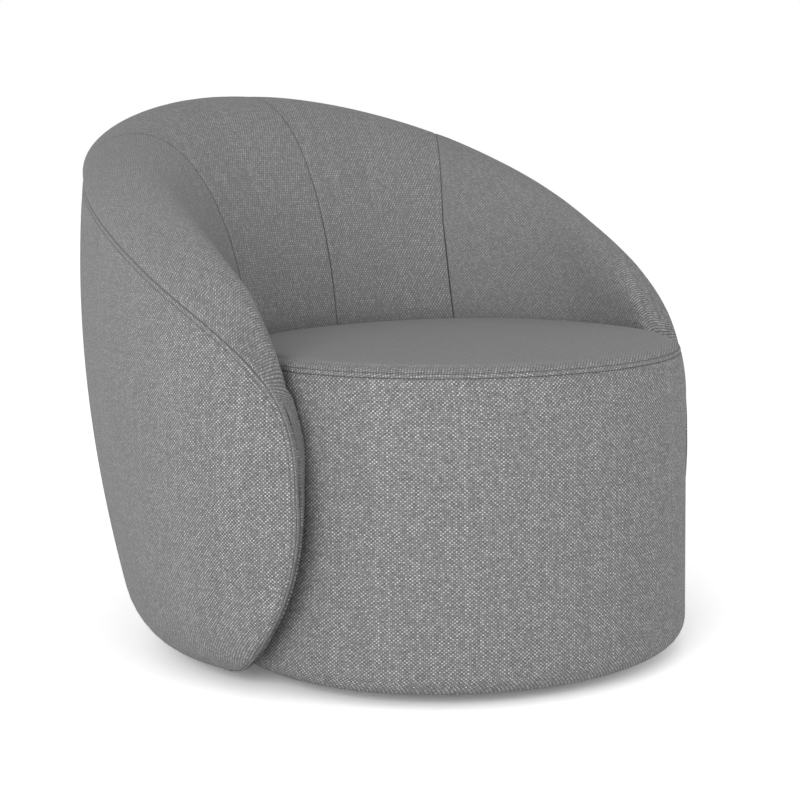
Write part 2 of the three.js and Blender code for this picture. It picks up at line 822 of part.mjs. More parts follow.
function drumSkin(angle, height, depth) {
  const foot = footInset(height, floor_gap + Math.min(depth, foam_depth), drum_foot_radius, drum_foot_radius);
  return drumReach(angle, height) - foot - depth;
}

// The angles of the drum's visible front, from one wing round to the other
function drumAngles() {
  const start = radians(drum_front_angle);
  const span = 2 * (Math.PI - start);
  return Array.from({ length: drum_steps + 1 }, (_, step) => start + (span * step) / drum_steps);
}

// The same angles and those of the drum's hidden rear
function roundAngles() {
  const front = drumAngles();
  const start = radians(drum_front_angle);
  const rear = Array.from({ length: drum_rear_steps - 1 }, (_, step) => (
    -start + (2 * start * (step + 1)) / drum_rear_steps));
  return [...front, ...rear];
}

function drumPanel(frontDepth, backDepth, frontHeights, backHeights) {
  const grid = (depth, heights) => drumAngles().map((angle) => (
    heights.map((height) => polar(drumSkin(angle, height, depth), angle, height))));
  return slab(grid(frontDepth, frontHeights), grid(backDepth, backHeights));
}

function drumHeights(bottom) {
  const shoulder = seam_height - seam_pinch_height;
  const foot = drum_foot_rows.map((share) => bottom + share * drum_foot_radius);
  return [...foot, (floor_gap + shoulder) / 2, shoulder, side_foam_top];
}

function seatRing(first, last, depth, width, bottom, height) {
  const steps = 6;
  const grid = (level) => Array.from({ length: steps + 1 }, (_, step) => {
    const angle = THREE.MathUtils.lerp(first, last, step / steps);
    const reach = drumSkin(angle, seat_rail_top, depth);
    return [polar(reach, angle, level), polar(reach - width, angle, level)];
  });
  return slab(grid(bottom + height), grid(bottom));
}

function strap(centre, alongX, bottom) {
  const half = strap_width / 2;
  const reachAt = (angle) => drumSkin(angle, seat_rail_top, rail_depth) - seat_rail_depth + strap_overlap;
  const end = (sign) => {
    let length = 0;
    for (let turn = 0; turn < 40; turn += 1) {
      const trial = length + drum_half_width / 2 ** (turn + 1);
      const fits = [centre - half, centre + half].every((offset) => {
        const [x, y] = alongX ? [sign * trial, offset] : [offset, sign * trial];
        return Math.hypot(x, y) <= reachAt(Math.atan2(x, y));
      });
      if (fits) length = trial;
    }
    return sign * length;
  };
  const [low, high] = [end(-1), end(1)];
  const geometry = new THREE.BoxGeometry(alongX ? high - low : strap_width, alongX ? strap_width : high - low,
    strap_thickness);
  const middle = (low + high) / 2;
  geometry.translate(alongX ? middle : centre, alongX ? centre : middle, bottom + strap_thickness / 2);
  return geometry;
}

function addDrumFrame() {
  const bottom = seat_rail_top - seat_rail_height;
  const joint = seat_gap / drum_half_depth;
  ['rear', 'right', 'front', 'left'].forEach((name, index) => {
    const middle = (index * Math.PI) / 2;
    const first = middle - Math.PI / 4 + joint / 2;
    const last = middle + Math.PI / 4 - joint / 2;
    const ring = seatRing(first, last, rail_depth + wrap_gap, seat_rail_depth, bottom, seat_rail_height);
    addMesh(turning, `seat_rail_${name}`, ring, plywood);
  });
  for (let index = 0; index < post_count; index += 1) {
    const angle = (2 * Math.PI * (index + 0.5)) / post_count;
    const tall = bottom - seat_gap - frame_foot;
    const geometry = new THREE.BoxGeometry(post_width, post_width, tall);
    const mesh = addMesh(turning, `seat_post_${index + 1}`, geometry, plywood);
    const reach = drumSkin(angle, seat_rail_top, rail_depth + wrap_gap) - post_width / 2;
    mesh.position.copy(polar(reach - wrap_gap, angle, frame_foot + tall / 2));
    mesh.rotation.z = -angle;
  }
  for (let index = 0; index < long_strap_count; index += 1) {
    const centre = (index - (long_strap_count - 1) / 2) * strap_pitch;
    addMesh(turning, `seat_strap_long_${index + 1}`, strap(centre, false, lower_strap_bottom), webbing);
  }
  for (let index = 0; index < cross_strap_count; index += 1) {
    const centre = (index - (cross_strap_count - 1) / 2) * strap_pitch;
    const bottomOfStrap = lower_strap_bottom + strap_thickness + seat_gap;
    addMesh(turning, `seat_strap_cross_${index + 1}`, strap(centre, true, bottomOfStrap), webbing);
  }
}

// The top of the seat rises from the seam round a soft edge to a low crown
function seatTopProfile(depth) {
  const edge = seam_height + seat_edge_rise - depth;
  const profile = [{ depth, share: 1, height: seam_height + seat_gap }];
  for (let step = 1; step <= 3; step += 1) {
    const turn = (Math.PI / 2) * (step / 3);
    profile.push({
      depth: depth + (seat_edge_radius - depth) * (1 - Math.cos(turn)),
      share: 1,
      height: seam_height + (seat_edge_rise - depth) * Math.sin(turn),
    });
  }
  for (const share of crown_shares) profile.push({ depth: 0, share, height: edge + seat_crown * (1 - share ** 2) });
  return { profile, top: edge + seat_crown };
}

function seatFoam() {
  const { profile, top } = seatTopProfile(foam_depth);
  const under = seam_height - seat_edge_rise;
  return dome([
    { depth: liner_depth, share: 1, height: seat_foam_bottom },
    { depth: liner_depth, share: 1, height: seam_height - seam_pinch_height },
    { depth: liner_depth, share: 1, height: under },
    { depth: foam_depth, share: 1, height: under + seat_gap },
    ...profile,
  ], seat_foam_bottom, top);
}

// The seat's cover is the dome over the foam, less the same dome one cloth lower
function seatCover() {
  const skin = seatTopProfile(0);
  const lining = seatTopProfile(cover_thickness);
  const outside = solidFrom(dome(skin.profile, skin.profile[0].height, skin.top));
  const rim = { ...lining.profile[0], height: seam_height - cut_overrun };
  const inside = solidFrom(dome([rim, ...lining.profile], rim.height, lining.top));
  return geometryFrom(outside.subtract(inside));
}

function addDrumUpholstery() {
  const coverTop = seam_height - seat_gap;
  const outside = [...drumHeights(floor_gap), coverTop];
  const backing = [...drumHeights(floor_gap + cover_thickness), coverTop];
  addMesh(turning, 'drum_side_cover', drumPanel(0, cover_thickness, outside, backing), fabric);
  const face = drumHeights(floor_gap + foam_depth);
  addMesh(turning, 'drum_side_foam', drumPanel(foam_depth, side_foam_depth, face, face), foam);
  const wall = [wall_bottom, (floor_gap + seam_height - seam_pinch_height) / 2, seat_rail_top];
  addMesh(turning, 'drum_wall', drumPanel(liner_depth, liner_depth + liner_thickness, wall, wall), hardboard);
  addMesh(turning, 'seat_foam', seatFoam(), foam);
  addMesh(turning, 'seat_cover', seatCover(), fabric);
}

addPlinth();
addChassis();
addDrumFrame();
addDrumUpholstery();
addShellFrame();
addShellUpholstery();

export default chair;
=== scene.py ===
import json
import math

import bmesh
import bpy
import numpy as np
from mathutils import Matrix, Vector


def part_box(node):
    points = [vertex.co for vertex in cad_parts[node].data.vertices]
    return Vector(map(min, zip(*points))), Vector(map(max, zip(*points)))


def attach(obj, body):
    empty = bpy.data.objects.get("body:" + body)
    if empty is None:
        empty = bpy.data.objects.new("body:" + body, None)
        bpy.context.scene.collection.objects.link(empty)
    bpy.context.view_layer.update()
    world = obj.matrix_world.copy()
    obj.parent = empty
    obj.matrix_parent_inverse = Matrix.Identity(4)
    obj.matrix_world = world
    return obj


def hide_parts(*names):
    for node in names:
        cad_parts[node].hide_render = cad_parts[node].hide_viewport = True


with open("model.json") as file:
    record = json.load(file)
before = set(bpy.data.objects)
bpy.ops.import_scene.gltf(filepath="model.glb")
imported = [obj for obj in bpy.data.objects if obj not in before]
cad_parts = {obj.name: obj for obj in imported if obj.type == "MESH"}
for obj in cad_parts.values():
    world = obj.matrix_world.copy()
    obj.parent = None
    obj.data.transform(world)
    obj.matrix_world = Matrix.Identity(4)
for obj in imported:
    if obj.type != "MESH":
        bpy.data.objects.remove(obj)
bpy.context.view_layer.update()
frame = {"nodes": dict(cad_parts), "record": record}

bl_info = {
    "name": "Cuddle Chair Upholstery",
    "version": (1, 0, 0),
    "blender": (4, 5, 0),
    "location": "View3D > Sidebar > Chair",
    "description": "Builds the cloth, seams and stage of a round cuddle chair over its packed solids",
    "category": "Object",
}

BODY = "turning_chair"


def radians(degrees):
    return degrees * math.pi / 180


def smooth(value, low, high):
    share = np.clip((value - low) / (high - low), 0, 1)
    return share * share * (3 - 2 * share)


# Where the swivel axis stands behind the middle of the drum
SWIVEL_SET_BACK = 0.035

# The drum
DRUM_HALF_WIDTH = 0.343
DRUM_HALF_DEPTH = 0.307
DRUM_FLARE = 0.007
FLOOR_GAP = 0.015
FOOT_RADIUS = 0.033
SEAM_HEIGHT = 0.429
SEAM_PINCH = 0.007
SEAM_PINCH_HEIGHT = 0.06
WRAP_GAP = 0.004
HEM_WIDTH = 0.022
HEM_ROUND = 0.008
HEM_THICKNESS = 0.003
HEM_STEPS = 5
LINING_GAP = 0.001
HEM_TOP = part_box("dust_cover")[0].z

# The two faces of the shell at three heights
PLAN_HEIGHTS = (0.015, 0.440, 0.780)
OUTER_PLAN = {
    "half_width": (0.4146, 0.4525, 0.4030),
    "rear": (0.4411, 0.6011, 0.6008),
    "waist": (0.1097, 0.1288, 0.1954),
    "front": (0.4053, 0.3912, 0.3695),
}
INNER_PLAN = {
    "half_width": (0.3684, 0.3529, 0.3542),
    "rear": (0.4287, 0.2713, 0.4374),
    "waist": (0.0501, 0.0107, 0.3401),
    "front": (0.3443, 0.4696, 0.2949),
}
SHELL_FOOT_HEIGHT = 0.082
SHELL_FOOT_INSET = 0.065
WING_FOOT_THICKNESS = 0.020
WRAP_FADE = (0.324, 0.429)
FOOT_CORE_RISE = 0.012
LEAST_THICKNESS = 0.01

# The rim line as two smooth runs of control points, in degrees round from the back and metres up
RIM_UPPER = ((0, 0.7395), (31.2, 0.7395), (61.9, 0.6425), (90.4, 0.449), (105.4, 0.492), (105.7, 0.280))
RIM_LOWER = ((105.7, 0.280), (107.6, 0.159), (96.7, 0.0165), (79.1, 0.0185))
RIM_REFERENCE_RADIUS = 0.45
TIP_FOOT_ANGLE = radians(79.1)
RIM_CREST_SHIFT = 0.063
RIM_SEAM_TURN = radians(27)

# How full the rim is, how far its inner edge steps back and how long its inner side rolls down, by places
# along the rim line: 0 at the back, 1 at the foremost tip, 2 at the floor
SWELL_PLACES = (0, 0.25, 0.5, 0.75, 1, 1.3, 1.65, 2)
RIM_SWELL = (0.357, 0.408, 0.193, 0.142, 0.05, 0.05, 0.104, 0.085)
STEP_PLACES = (0.6, 0.8, 1, 1.3, 1.5, 1.65, 1.8, 2)
INNER_STEP = (-0.036, 0.010, 0.031, 0.040, 0.043, 0.0385, 0.028, 0.008)
ROLL_PLACES = (0, 0.25, 0.5, 0.75, 1)
INNER_ROLL = (0.328, 0.268, 0.187, 0.100, 0)
ROLL_HANDLES = (0.708, 0.327)
ROLL_FLOOR = 0.400

# How the rim's width and its roll share in the first handle, from which length on the roll is a long one, and
# how deep under the rim the middle of its padding lies: a share of its half width, and metres
HANDLE_SHARES = (1.15, 0.5)
LONG_ROLL = 0.02
RIM_CORE = (0.3, 0.01)

# The seams on the inside of the shell: how far round they stand and how they lean
SIDE_SEAM_ANGLE = radians(33.4)
SIDE_SEAM_LEAN = radians(-30.2)
SIDE_SEAM_LEVEL = 0.700
SEAM_SKEW = radians(-4.6)
LEAN_TURNS = (0, radians(38), radians(85))
LEAN_HEIGHTS = (0.45, 0.60)
SKEW_TURNS = (0, SIDE_SEAM_ANGLE, radians(75))

# How low the inside reaches behind the seat, between which heights of the rim it comes to do so, how far over
# the foot it ends beside the drum, and between which turns from the back it comes down to the foot
INSIDE_BOTTOM = 0.36
BOTTOM_FADE = (0.30, 0.60)
INSIDE_TUCK = 0.045
TUCK_TURNS = (radians(75), radians(78.5))

# The grid of the shell: steps from the rim seam, shares from there to the rim line, the seam's least drop
# below that line, how far apart the columns are, the most of a column that the drop, the steps and the foot
# take up, turns of the rolled foot, shares down the outside and the inside, and rows over the crest and down
# the inner roll
NEAR_SEAM = (0.0135, 0.0105, 0.0088, 0.0078, 0.0068, 0.0058, 0.0048, 0.0035, 0.0022, 0.0012, 0.0)
SEAM_TO_RIM_SHARES = (0.85, 0.65, 0.4, 0.2)
SEAM_LEAST_DROP = 0.0033
STATION_PITCH = 0.009
MOST_DROP = 0.2
MOST_STEPS = 0.25
MOST_FOOT = 0.45
FOOT_TURNS = tuple(radians(turn) for turn in range(0, 100, 10))
WALL_SHARES = tuple(np.linspace(0, 1, 34)[1:-1])
INNER_SHARES = tuple(np.linspace(0, 1, 22)[1:])
RIM_ROWS = 12
ROLL_ROWS = 38

# The grid of the drum: how far round from the back it starts to show, its columns, its rows up the wall and
# up the pinched top, and its steps to the seat's seam. Then where the middle of its padding lies: a share of
# its reach, and metres up
DRUM_FRONT_ANGLE = radians(79)
DRUM_COLUMNS = 150
DRUM_WALL_ROWS = 26
DRUM_PINCH_ROWS = 8
DRUM_NEAR_SEAM = (0.0105, 0.008, 0.006, 0.0045, 0.003, 0.002, 0.001, 0.0)
DRUM_CORE = (0.8, 0.01)

# Between which turns from the back the outside's yarns open, between which they start to show, and where the
# painted shade on the inside above the seat ends
EDGE_TURNS = (radians(78), radians(104))
FACE_TURNS = (radians(60), radians(104))
PAINTED_SHADE_TURNS = (radians(35), radians(75))
PAINTED_SHADE_HEIGHTS = (0.442, 0.485)

# The inside's reach as a share of the rim's reference radius, and how much closer its yarns lie over the rim
INSIDE_REACH_SHARE = 0.82
RIM_CROWDING = 1.5

# Where along the rim line the yarns come to show, how far down inside they fade again, and how many rows
# before the inner wall those of the centre panels come to lie level
RIM_SHOWS = (0.34, 0.78)
INSIDE_FADES = (0.07, 0.17)
LEVEL_ROWS = 20

# Over which distances the cloth stands out beside a seam and its gathers fade, how wide the dip and the dark
# line along topstitching are, and how dark that line is. The dark lines are painted shade in the seams, and
# along the topstitching partly painted shade in its dip and partly the thread's own colour
PUFF_REACH = (0.004, 0.06)
GATHER_REACH = 0.012
GATHER_PITCHES = (0.011, 0.017, 0.029, 0.053)
STITCH_DIP = 0.0010
DARK_LINE = 0.0009
STITCH_SHADE = 0.7

# The same for the seat, with its seam's own painted shade line, and over which distance from the seam it gets
# worn
SEAT_STITCH_DIP = 0.0012
SEAT_STITCH_SHADE = 0.8
SEAT_SEAM_LINE = 0.0008
SEAT_SEAM_SHADE = 0.7
SEAT_WORN = (0.010, 0.030)

# Turns a grid's own normals outward on the shell and the drum
OUTWARD = -1.0

# How coarse the copy of a piece is that swells, and how long it swells
SWELL_ROWS = 60
SWELL_COLUMNS = 44
SWELL_FRAMES = 20

# The seat's points round, over its soft edge and across its top, how flat its crown is, and how far forward
# its rise at the back is felt, as the cosine of a turn from the back
SEAT_ROUND = 240
SEAT_EDGE_POINTS = 46
SEAT_TOP_POINTS = 34
SEAT_FLATNESS = 0.9
SEAT_TILT_END = -0.3

# Into how many faces a stitch is cut along and round it, over which step its direction is taken, and in
# thread radii how thin its ends are, how far it sinks in there and rises between them, and how broad it is.
# Then where the rows of stitches end: so many columns before the rim's last one, and so far round past the
# drum's front
STITCH_RINGS = 6
STITCH_SIDES = 6
STITCH_STEP = 0.0005
STITCH_ENDS = 0.35
STITCH_SINK = 0.6
STITCH_RISE = 1.1
STITCH_BREADTH = 1.15
RIM_STITCH_MARGIN = 6
SEAT_STITCH_MARGIN = 0.1

# The stage
LAMP_AIM_HEIGHT = 0.35
FLOOR_HALF = 12.0


# Sizes and colours that a user would change


def length(name, description, default, precision=4):
    return bpy.props.FloatProperty(
        name=name, description=description, default=default, unit="LENGTH", precision=precision)


def amount(name, description, default, top=2):
    subtype = "FACTOR" if top <= 2 else "NONE"
    return bpy.props.FloatProperty(
        name=name, description=description, default=default, min=0, max=top, subtype=subtype)


def colour(name, description, default):
    return bpy.props.FloatVectorProperty(
        name=name, description=description, default=default, subtype="COLOR", min=0, max=1)


def place(name, description, default):
    return bpy.props.FloatVectorProperty(
        name=name, description=description, default=default, subtype="TRANSLATION", unit="LENGTH")


def turn(name, description, default):
    return bpy.props.FloatProperty(
        name=name, description=description, default=default, subtype="ANGLE", unit="ROTATION")


def power(name, description, default):
    return bpy.props.FloatProperty(name=name, description=description, default=default, unit="POWER")


class ClothSettings(bpy.types.PropertyGroup):
    """The cloth and how strongly its yarns show"""

    cloth_colour: colour("Cloth colour", "Mean colour of the grey woven cloth", (0.235, 0.235, 0.236))
    warp_pitch: length("Warp pitch", "Distance between the upright yarns", 0.0028)
    weft_pitch: length("Weft pitch", "Distance between the level yarns", 0.00237, 5)
    inside_warp_pitch: length("Inside warp pitch", "Distance between the upright yarns of the back", 0.0022)
    inside_weft_pitch: length("Inside weft pitch", "Distance between the level yarns of the back", 0.0034)
    outside_crowding: amount(
        "Outside crowding", "How much closer the upright yarns lie behind the shell's front edges", 0.42, 1)
    inside_relief: amount("Inside relief", "How strongly the yarns show inside the shell", 0.58)
    rim_relief: amount(
        "Rim relief", "How strongly the yarns show where the cloth turns over a front edge", 1.0)
    crest_relief: amount("Crest relief", "How strongly the yarns show on top of the back", 0.4)
    rear_relief: amount("Rear relief", "How strongly the yarns show on the outside of the back", 0.5)
    front_relief: amount("Front relief", "How strongly the yarns show on the outside of the wings", 1.05)
    drum_relief: amount("Drum relief", "How strongly the yarns show on the drum", 0.9)
    seat_edge_relief: amount("Seat edge relief", "How strongly the yarns show on the edge of the seat", 0.85)
    seat_relief: amount("Seat relief", "How strongly the yarns show on the worn top of the seat", 0.2)
    # Painted shade: darkens the inside panels just above the seat
    sheltered_shade: amount(
        "Painted seat shade", "How much duller the cloth is where the seat meets the back", 0.3, 1)
    yarn_relief: length("Yarn relief", "Height of a yarn's crown over the cloth's hollows", 0.0006, 5)
    yarn_contrast: amount("Yarn contrast", "How much lighter the level yarns are than the upright ones", 0.72)
    thread_colour: colour("Thread colour", "Colour of the stitching thread", (0.13, 0.13, 0.132))


class SeamSettings(bpy.types.PropertyGroup):
    """Seams and topstitching"""

    groove_depth: length("Groove depth", "How deep the cloth dips into a seam", 0.0010)
    groove_width: length("Groove width", "Distance over which the cloth dips into a seam", 0.0015)
    stitched_depth: length("Stitched depth", "How deep the cloth dips under the topstitching", 0.0003)
    topstitch_offset: length(
        "Topstitch offset", "Distance from a seam to its line of topstitching", 0.0068)
    stitch_length: length("Stitch length", "Length of one visible stitch", 0.0048)
    stitch_gap: length("Stitch gap", "Gap between two stitches", 0.0016)
    thread_radius: length("Thread radius", "Radius of the stitching thread", 0.00038, 5)


class PaddingSettings(bpy.types.PropertyGroup):
    """The seat's form and how full the padding is"""

    seat_edge_rise: length("Seat edge rise", "Height of the seat's soft edge over its seam", 0.013)
    seat_edge_radius: length("Seat edge radius", "How far in the seat's soft edge turns over", 0.020)
    seat_crown: length("Seat crown", "Height of the seat's middle over its edge", 0.0075)
    seat_rear_rise: length(
        "Seat rear rise", "How much higher the seat lies at the back than at the front", 0.0035)
    pressure: amount("Pressure", "Pressure of the wadding under the cloth while a piece swells", 4.0, 50)
    panel_swell: length("Panel swell", "The most that an inside panel may swell between its seams", 0.0015)
    seat_swell: length("Seat swell", "The most that the seat may swell inside its seam", 0.003)
    panel_puff: length("Panel puff", "How far a cover stands out between its seams", 0.0003)
    pucker: length("Pucker", "Height of the small gathers along a seam", 0.00012, 5)
    pad_depth: length("Pad depth", "Depth of cloth and wadding together", 0.012)


class StageSettings(bpy.types.PropertyGroup):
    """The camera, the lamps and the floor"""

    camera_place: place("Camera place", "Where the camera stands", (-1.7967, -1.9589, 0.7353))
    camera_heading: turn("Camera heading", "Direction of view, turned from +Y towards +X", radians(41.22))
    camera_pitch: turn("Camera pitch", "How far the camera looks down", radians(8.17))
    lens: bpy.props.FloatProperty(
        name="Lens", description="Focal length on a 36 mm sensor", default=83.94, unit="CAMERA")
    key_place: place("Key lamp place", "Where the lamp on the left stands", (-2.98, -1.55, 1.1))
    key_power: power("Key lamp", "Power of the large soft lamp on the left", 55.5)
    fill_place: place("Fill lamp place", "Where the lamp on the right stands", (1.5, -3.2, 1.1))
    fill_power: power("Fill lamp", "Power of the large soft lamp on the right", 20.5)
    lamp_size: length("Lamp size", "Width of the two square lamps", 2.0)
    sky_strength: amount("Sky strength", "Strength of the even white light all round", 0.555)
    floor_gain: amount("Floor gain", "How much brighter the floor looks to the camera than it is", 1.93, 4)
    floor_lift: amount("Floor lift", "Glow that the floor shows to the camera alone", 0.09)
    floor_colour: colour("Floor colour", "Colour of the plain pale floor", (0.9, 0.9, 0.9))


def settings(name):
    return getattr(bpy.context.scene, "chair_" + name)


# Shader maths


def both_ways(operation):
    """An operator between a socket and another or a number, and its reflected form."""
    def forward(self, other):
        return self.maths(operation, other)

    def reflected(self, other):
        return self.shader.node("ShaderNodeMath", {"operation": operation}, (other, self))

    return forward, reflected


class Wire:
    """A shader socket that takes part in Python expressions."""

    __add__, __radd__ = both_ways("ADD")
    __sub__, __rsub__ = both_ways("SUBTRACT")
    __mul__, __rmul__ = both_ways("MULTIPLY")
    __truediv__, __rtruediv__ = both_ways("DIVIDE")
    __pow__, __rpow__ = both_ways("POWER")

    def __init__(self, shader, socket):
        self.shader = shader
        self.socket = socket

    def maths(self, operation, *others):
        return self.shader.node("ShaderNodeMath", {"operation": operation}, (self, *others))

    def floor(self):
        return self.maths("FLOOR")

    def fraction(self):
        return self.maths("FRACT")

    def sine(self):
        return self.maths("SINE")

    def clipped(self):
        return self.shader.node("ShaderNodeClamp", {}, (self, 0.0, 1.0))


class Shader:
    """The nodes of one material or world, made by a single generic method."""

    def __init__(self, name, world=None):
        self.material = world or bpy.data.materials.new(name)
        self.material.use_nodes = True
        self.tree = self.material.node_tree
        self.surface = self.tree.nodes["Background" if world else "Principled BSDF"]

    def node(self, kind, choices, values, output=0):
        made = self.tree.nodes.new(kind)
        for name, value in choices.items():
            setattr(made, name, value)
        named = values.items() if isinstance(values, dict) else enumerate(values)
        for name, value in named:
            self.feed(made.inputs[name], value)
        return Wire(self, made.outputs[output])

    def feed(self, socket, value):
        if isinstance(value, Wire):
            self.tree.links.new(value.socket, socket)
        else:
            socket.default_value = value

    def set(self, **sockets):
        """Feeds the surface's own sockets and gives back the material."""
        for name, value in sockets.items():
            self.feed(self.surface.inputs[name.replace("_", " ").title().replace("Ior", "IOR")], value)
        return self.material

    def coordinates(self):
        return self.node("ShaderNodeTexCoord", {}, (), "Object")

    def axes(self, vector):
        x = self.node("ShaderNodeSeparateXYZ", {}, (vector,))
        return [Wire(self, output) for output in x.socket.node.outputs]

    def at(self, x, y, z=0.0):
        return self.node("ShaderNodeCombineXYZ", {}, (x, y, z))

    def stretched(self, vector, scale):
        return self.node("ShaderNodeMapping", {}, {"Vector": vector, "Scale": scale})

    def noise(self, vector, scale, detail=2.0, roughness=0.5):
        return self.node("ShaderNodeTexNoise", {},
                         {"Vector": vector, "Scale": scale, "Detail": detail, "Roughness": roughness})

    def scatter(self, vector):
        """A random value for each place with whole-numbered coordinates."""
        return self.node("ShaderNodeTexWhiteNoise", {"noise_dimensions": "2D"}, {"Vector": vector})

    def mixed(self, share, first, second, blend="MIX"):
        values = {0: share, 6: first, 7: second}
        return self.node("ShaderNodeMix", {"data_type": "RGBA", "blend_type": blend}, values, 2)

    def tinted(self, tint, tone):
        """A colour made lighter or darker by a tone."""
        return self.mixed(1.0, rgba(tint), self.grey(tone), "MULTIPLY")

    def attribute(self, name):
        return self.node("ShaderNodeAttribute", {"attribute_name": name}, (), "Fac")

    def seen(self):
        """1 for what the camera sees directly, in a mirror or through glass, and 0 for the light itself."""
        kinds = ("Is Camera Ray", "Is Glossy Ray", "Is Transmission Ray")
        camera, glossy, clear = (self.node("ShaderNodeLightPath", {}, (), kind) for kind in kinds)
        return (camera + glossy + clear).clipped()

    def grey(self, value):
        return self.node("ShaderNodeCombineColor", {}, (value, value, value))

    def bump(self, height, distance):
        return self.node("ShaderNodeBump", {}, {"Distance": distance, "Height": height})


def rgba(colour, share=1.0):
    return (*(part * share for part in colour), 1.0)


# Materials


# How light and how dark single yarns may turn, and the middle of the two
LIGHT_YARN = 1.45
GLINT = 0.5
DARK_YARN = 0.75
YARN_MIDDLE = 0.83
# How much the painted shade in the seams, along the topstitching and above the seat darkens the cloth
PAINTED_SHADE_DARKNESS = 0.5


def weave(name, pitches):
    """Chunky grey hopsack: light level yarns cross darker upright ones, with slubs along both."""
    cloth = settings("cloth")
    shader = Shader(name)
    across, up, _ = shader.axes(shader.node("ShaderNodeUVMap", {"uv_map": "cloth"}, ()))
    relief = shader.attribute("yarn_relief")
    seam = shader.attribute("painted_shade")
    wander = shader.noise(shader.at(across * 60.0, up * 60.0), 1.0, 1.0) - 0.5
    warp = across / pitches[0] + wander * 0.5
    weft = up / pitches[1] + wander * 0.4
    warp_row, weft_row = warp.floor(), weft.floor()
    crown = (warp.fraction() * math.pi).sine() * (weft.fraction() * math.pi).sine()
    level_yarn = ((warp_row + weft_row) * 0.5).fraction() * 2.0
    slub_up = shader.noise(shader.at(warp_row * 7.31, up * 14.0), 1.0, 2.0)
    slub_across = shader.noise(shader.at(across * 14.0, weft_row * 5.17, 3.0), 1.0, 2.0)
    speck = shader.scatter(shader.at(warp_row, weft_row)) ** 1.5
    glint = shader.scatter(shader.at(warp_row, 0.0)) ** 9.0
    round_yarn = crown ** 0.8
    light = round_yarn * level_yarn * (0.25 + speck * LIGHT_YARN + glint * GLINT)
    light = light * (0.65 + slub_across * 0.7)
    dark = round_yarn * (1.0 - level_yarn) * speck * DARK_YARN
    ground = 0.5 + crown * 0.42 + (slub_up - 0.5) * 0.22 + (slub_across - 0.5) * 0.15
    cloudy = shader.noise(shader.at(across * 9.0, up * 9.0, 7.0), 1.0, 3.0)
    detail = ground + light * cloth.yarn_contrast * 2.0 - dark - YARN_MIDDLE
    # Painted shade: the seams, the topstitching and the cloth above the seat are darkened and their yarns
    # flattened
    tone = (1.0 + detail * relief * (1.0 - seam)) * (0.97 + cloudy * 0.06)
    tone = tone * (1.0 - seam * PAINTED_SHADE_DARKNESS)
    fuzz = shader.noise(shader.at(across * 900.0, up * 900.0), 1.0, 2.0)
    height = (crown * (0.55 + level_yarn * 0.45) + fuzz * 0.18) * relief
    return shader.set(
        Base_Color=shader.tinted(cloth.cloth_colour, tone), Roughness=0.88 - crown * 0.1, Sheen_Weight=0.05,
        Sheen_Roughness=0.6, Specular_IOR_Level=0.2, Normal=shader.bump(height, cloth.yarn_relief))


def woven_cloth():
    """The cloth on the drum, the seat, the wings and the shell's outside, where its yarns stand open."""
    cloth = settings("cloth")
    return weave("woven_cloth", (cloth.warp_pitch, cloth.weft_pitch))


def sheltered_cloth():
    """The same cloth on the inside of the back, where its upright yarns lie closer."""
    cloth = settings("cloth")
    return weave("sheltered_cloth", (cloth.inside_warp_pitch, cloth.inside_weft_pitch))


def stitching_thread():
    """Twisted polyester thread."""
    shader = Shader("stitching_thread")
    twist = (shader.axes(shader.coordinates())[0] * 4200.0).sine()
    fibre = shader.noise(shader.coordinates(), 1500.0)
    tone = 0.8 + twist * 0.12 + fibre * 0.3
    return shader.set(Base_Color=shader.tinted(settings("cloth").thread_colour, tone),
                      Roughness=0.62 + fibre * 0.1, Normal=shader.bump(twist, 0.0001))


def foam_rubber():
    """Cream upholstery foam with open cells."""
    shader = Shader("foam_rubber")
    place = shader.coordinates()
    cells = shader.node("ShaderNodeTexVoronoi", {"feature": "F1"}, {"Vector": place, "Scale": 900.0})
    patches = shader.noise(place, 14.0, 4.0)
    colour = shader.mixed(patches, (0.80, 0.72, 0.44, 1), (0.70, 0.60, 0.33, 1))
    return shader.set(Base_Color=colour, Roughness=0.9 + cells * 0.08, Normal=shader.bump(cells, 0.0006))


def birch_plywood():
    """Sanded birch plywood, with grain on the face and plies on the edge."""
    shader = Shader("birch_plywood")
    place = shader.coordinates()
    grain = shader.noise(shader.stretched(place, (3.0, 60.0, 3.0)), 4.0, 6.0, 0.6)
    plies = (shader.axes(place)[2] * 2200.0).sine().clipped()
    pale = shader.mixed(grain, (0.66, 0.46, 0.25, 1), (0.50, 0.31, 0.14, 1))
    colour = shader.mixed(plies * 0.22, pale, (0.30, 0.17, 0.08, 1))
    return shader.set(Base_Color=colour, Roughness=0.6 + grain * 0.15, Normal=shader.bump(grain, 0.0004))


def brown_hardboard():
    """Pressed brown hardboard with loose fibres."""
    shader = Shader("brown_hardboard")
    fibres = shader.noise(shader.coordinates(), 220.0, 6.0, 0.7)
    colour = shader.mixed(fibres, (0.17, 0.085, 0.035, 1), (0.29, 0.15, 0.065, 1))
    return shader.set(Base_Color=colour, Roughness=0.7 + fibres * 0.15, Normal=shader.bump(fibres, 0.0003))


def zinc_steel():
    """Zinc-plated pressed steel with faint rolling marks."""
    shader = Shader("zinc_steel")
    place = shader.coordinates()
    marks = shader.noise(shader.stretched(place, (8.0, 400.0, 8.0)), 2.0, 4.0)
    bloom = shader.noise(place, 30.0, 5.0, 0.65)
    colour = shader.mixed(bloom, (0.50, 0.51, 0.53, 1), (0.62, 0.62, 0.60, 1))
    return shader.set(Base_Color=colour, Metallic=1.0, Roughness=0.28 + marks * 0.12 + bloom * 0.1,
                      Normal=shader.bump(marks, 0.00008))


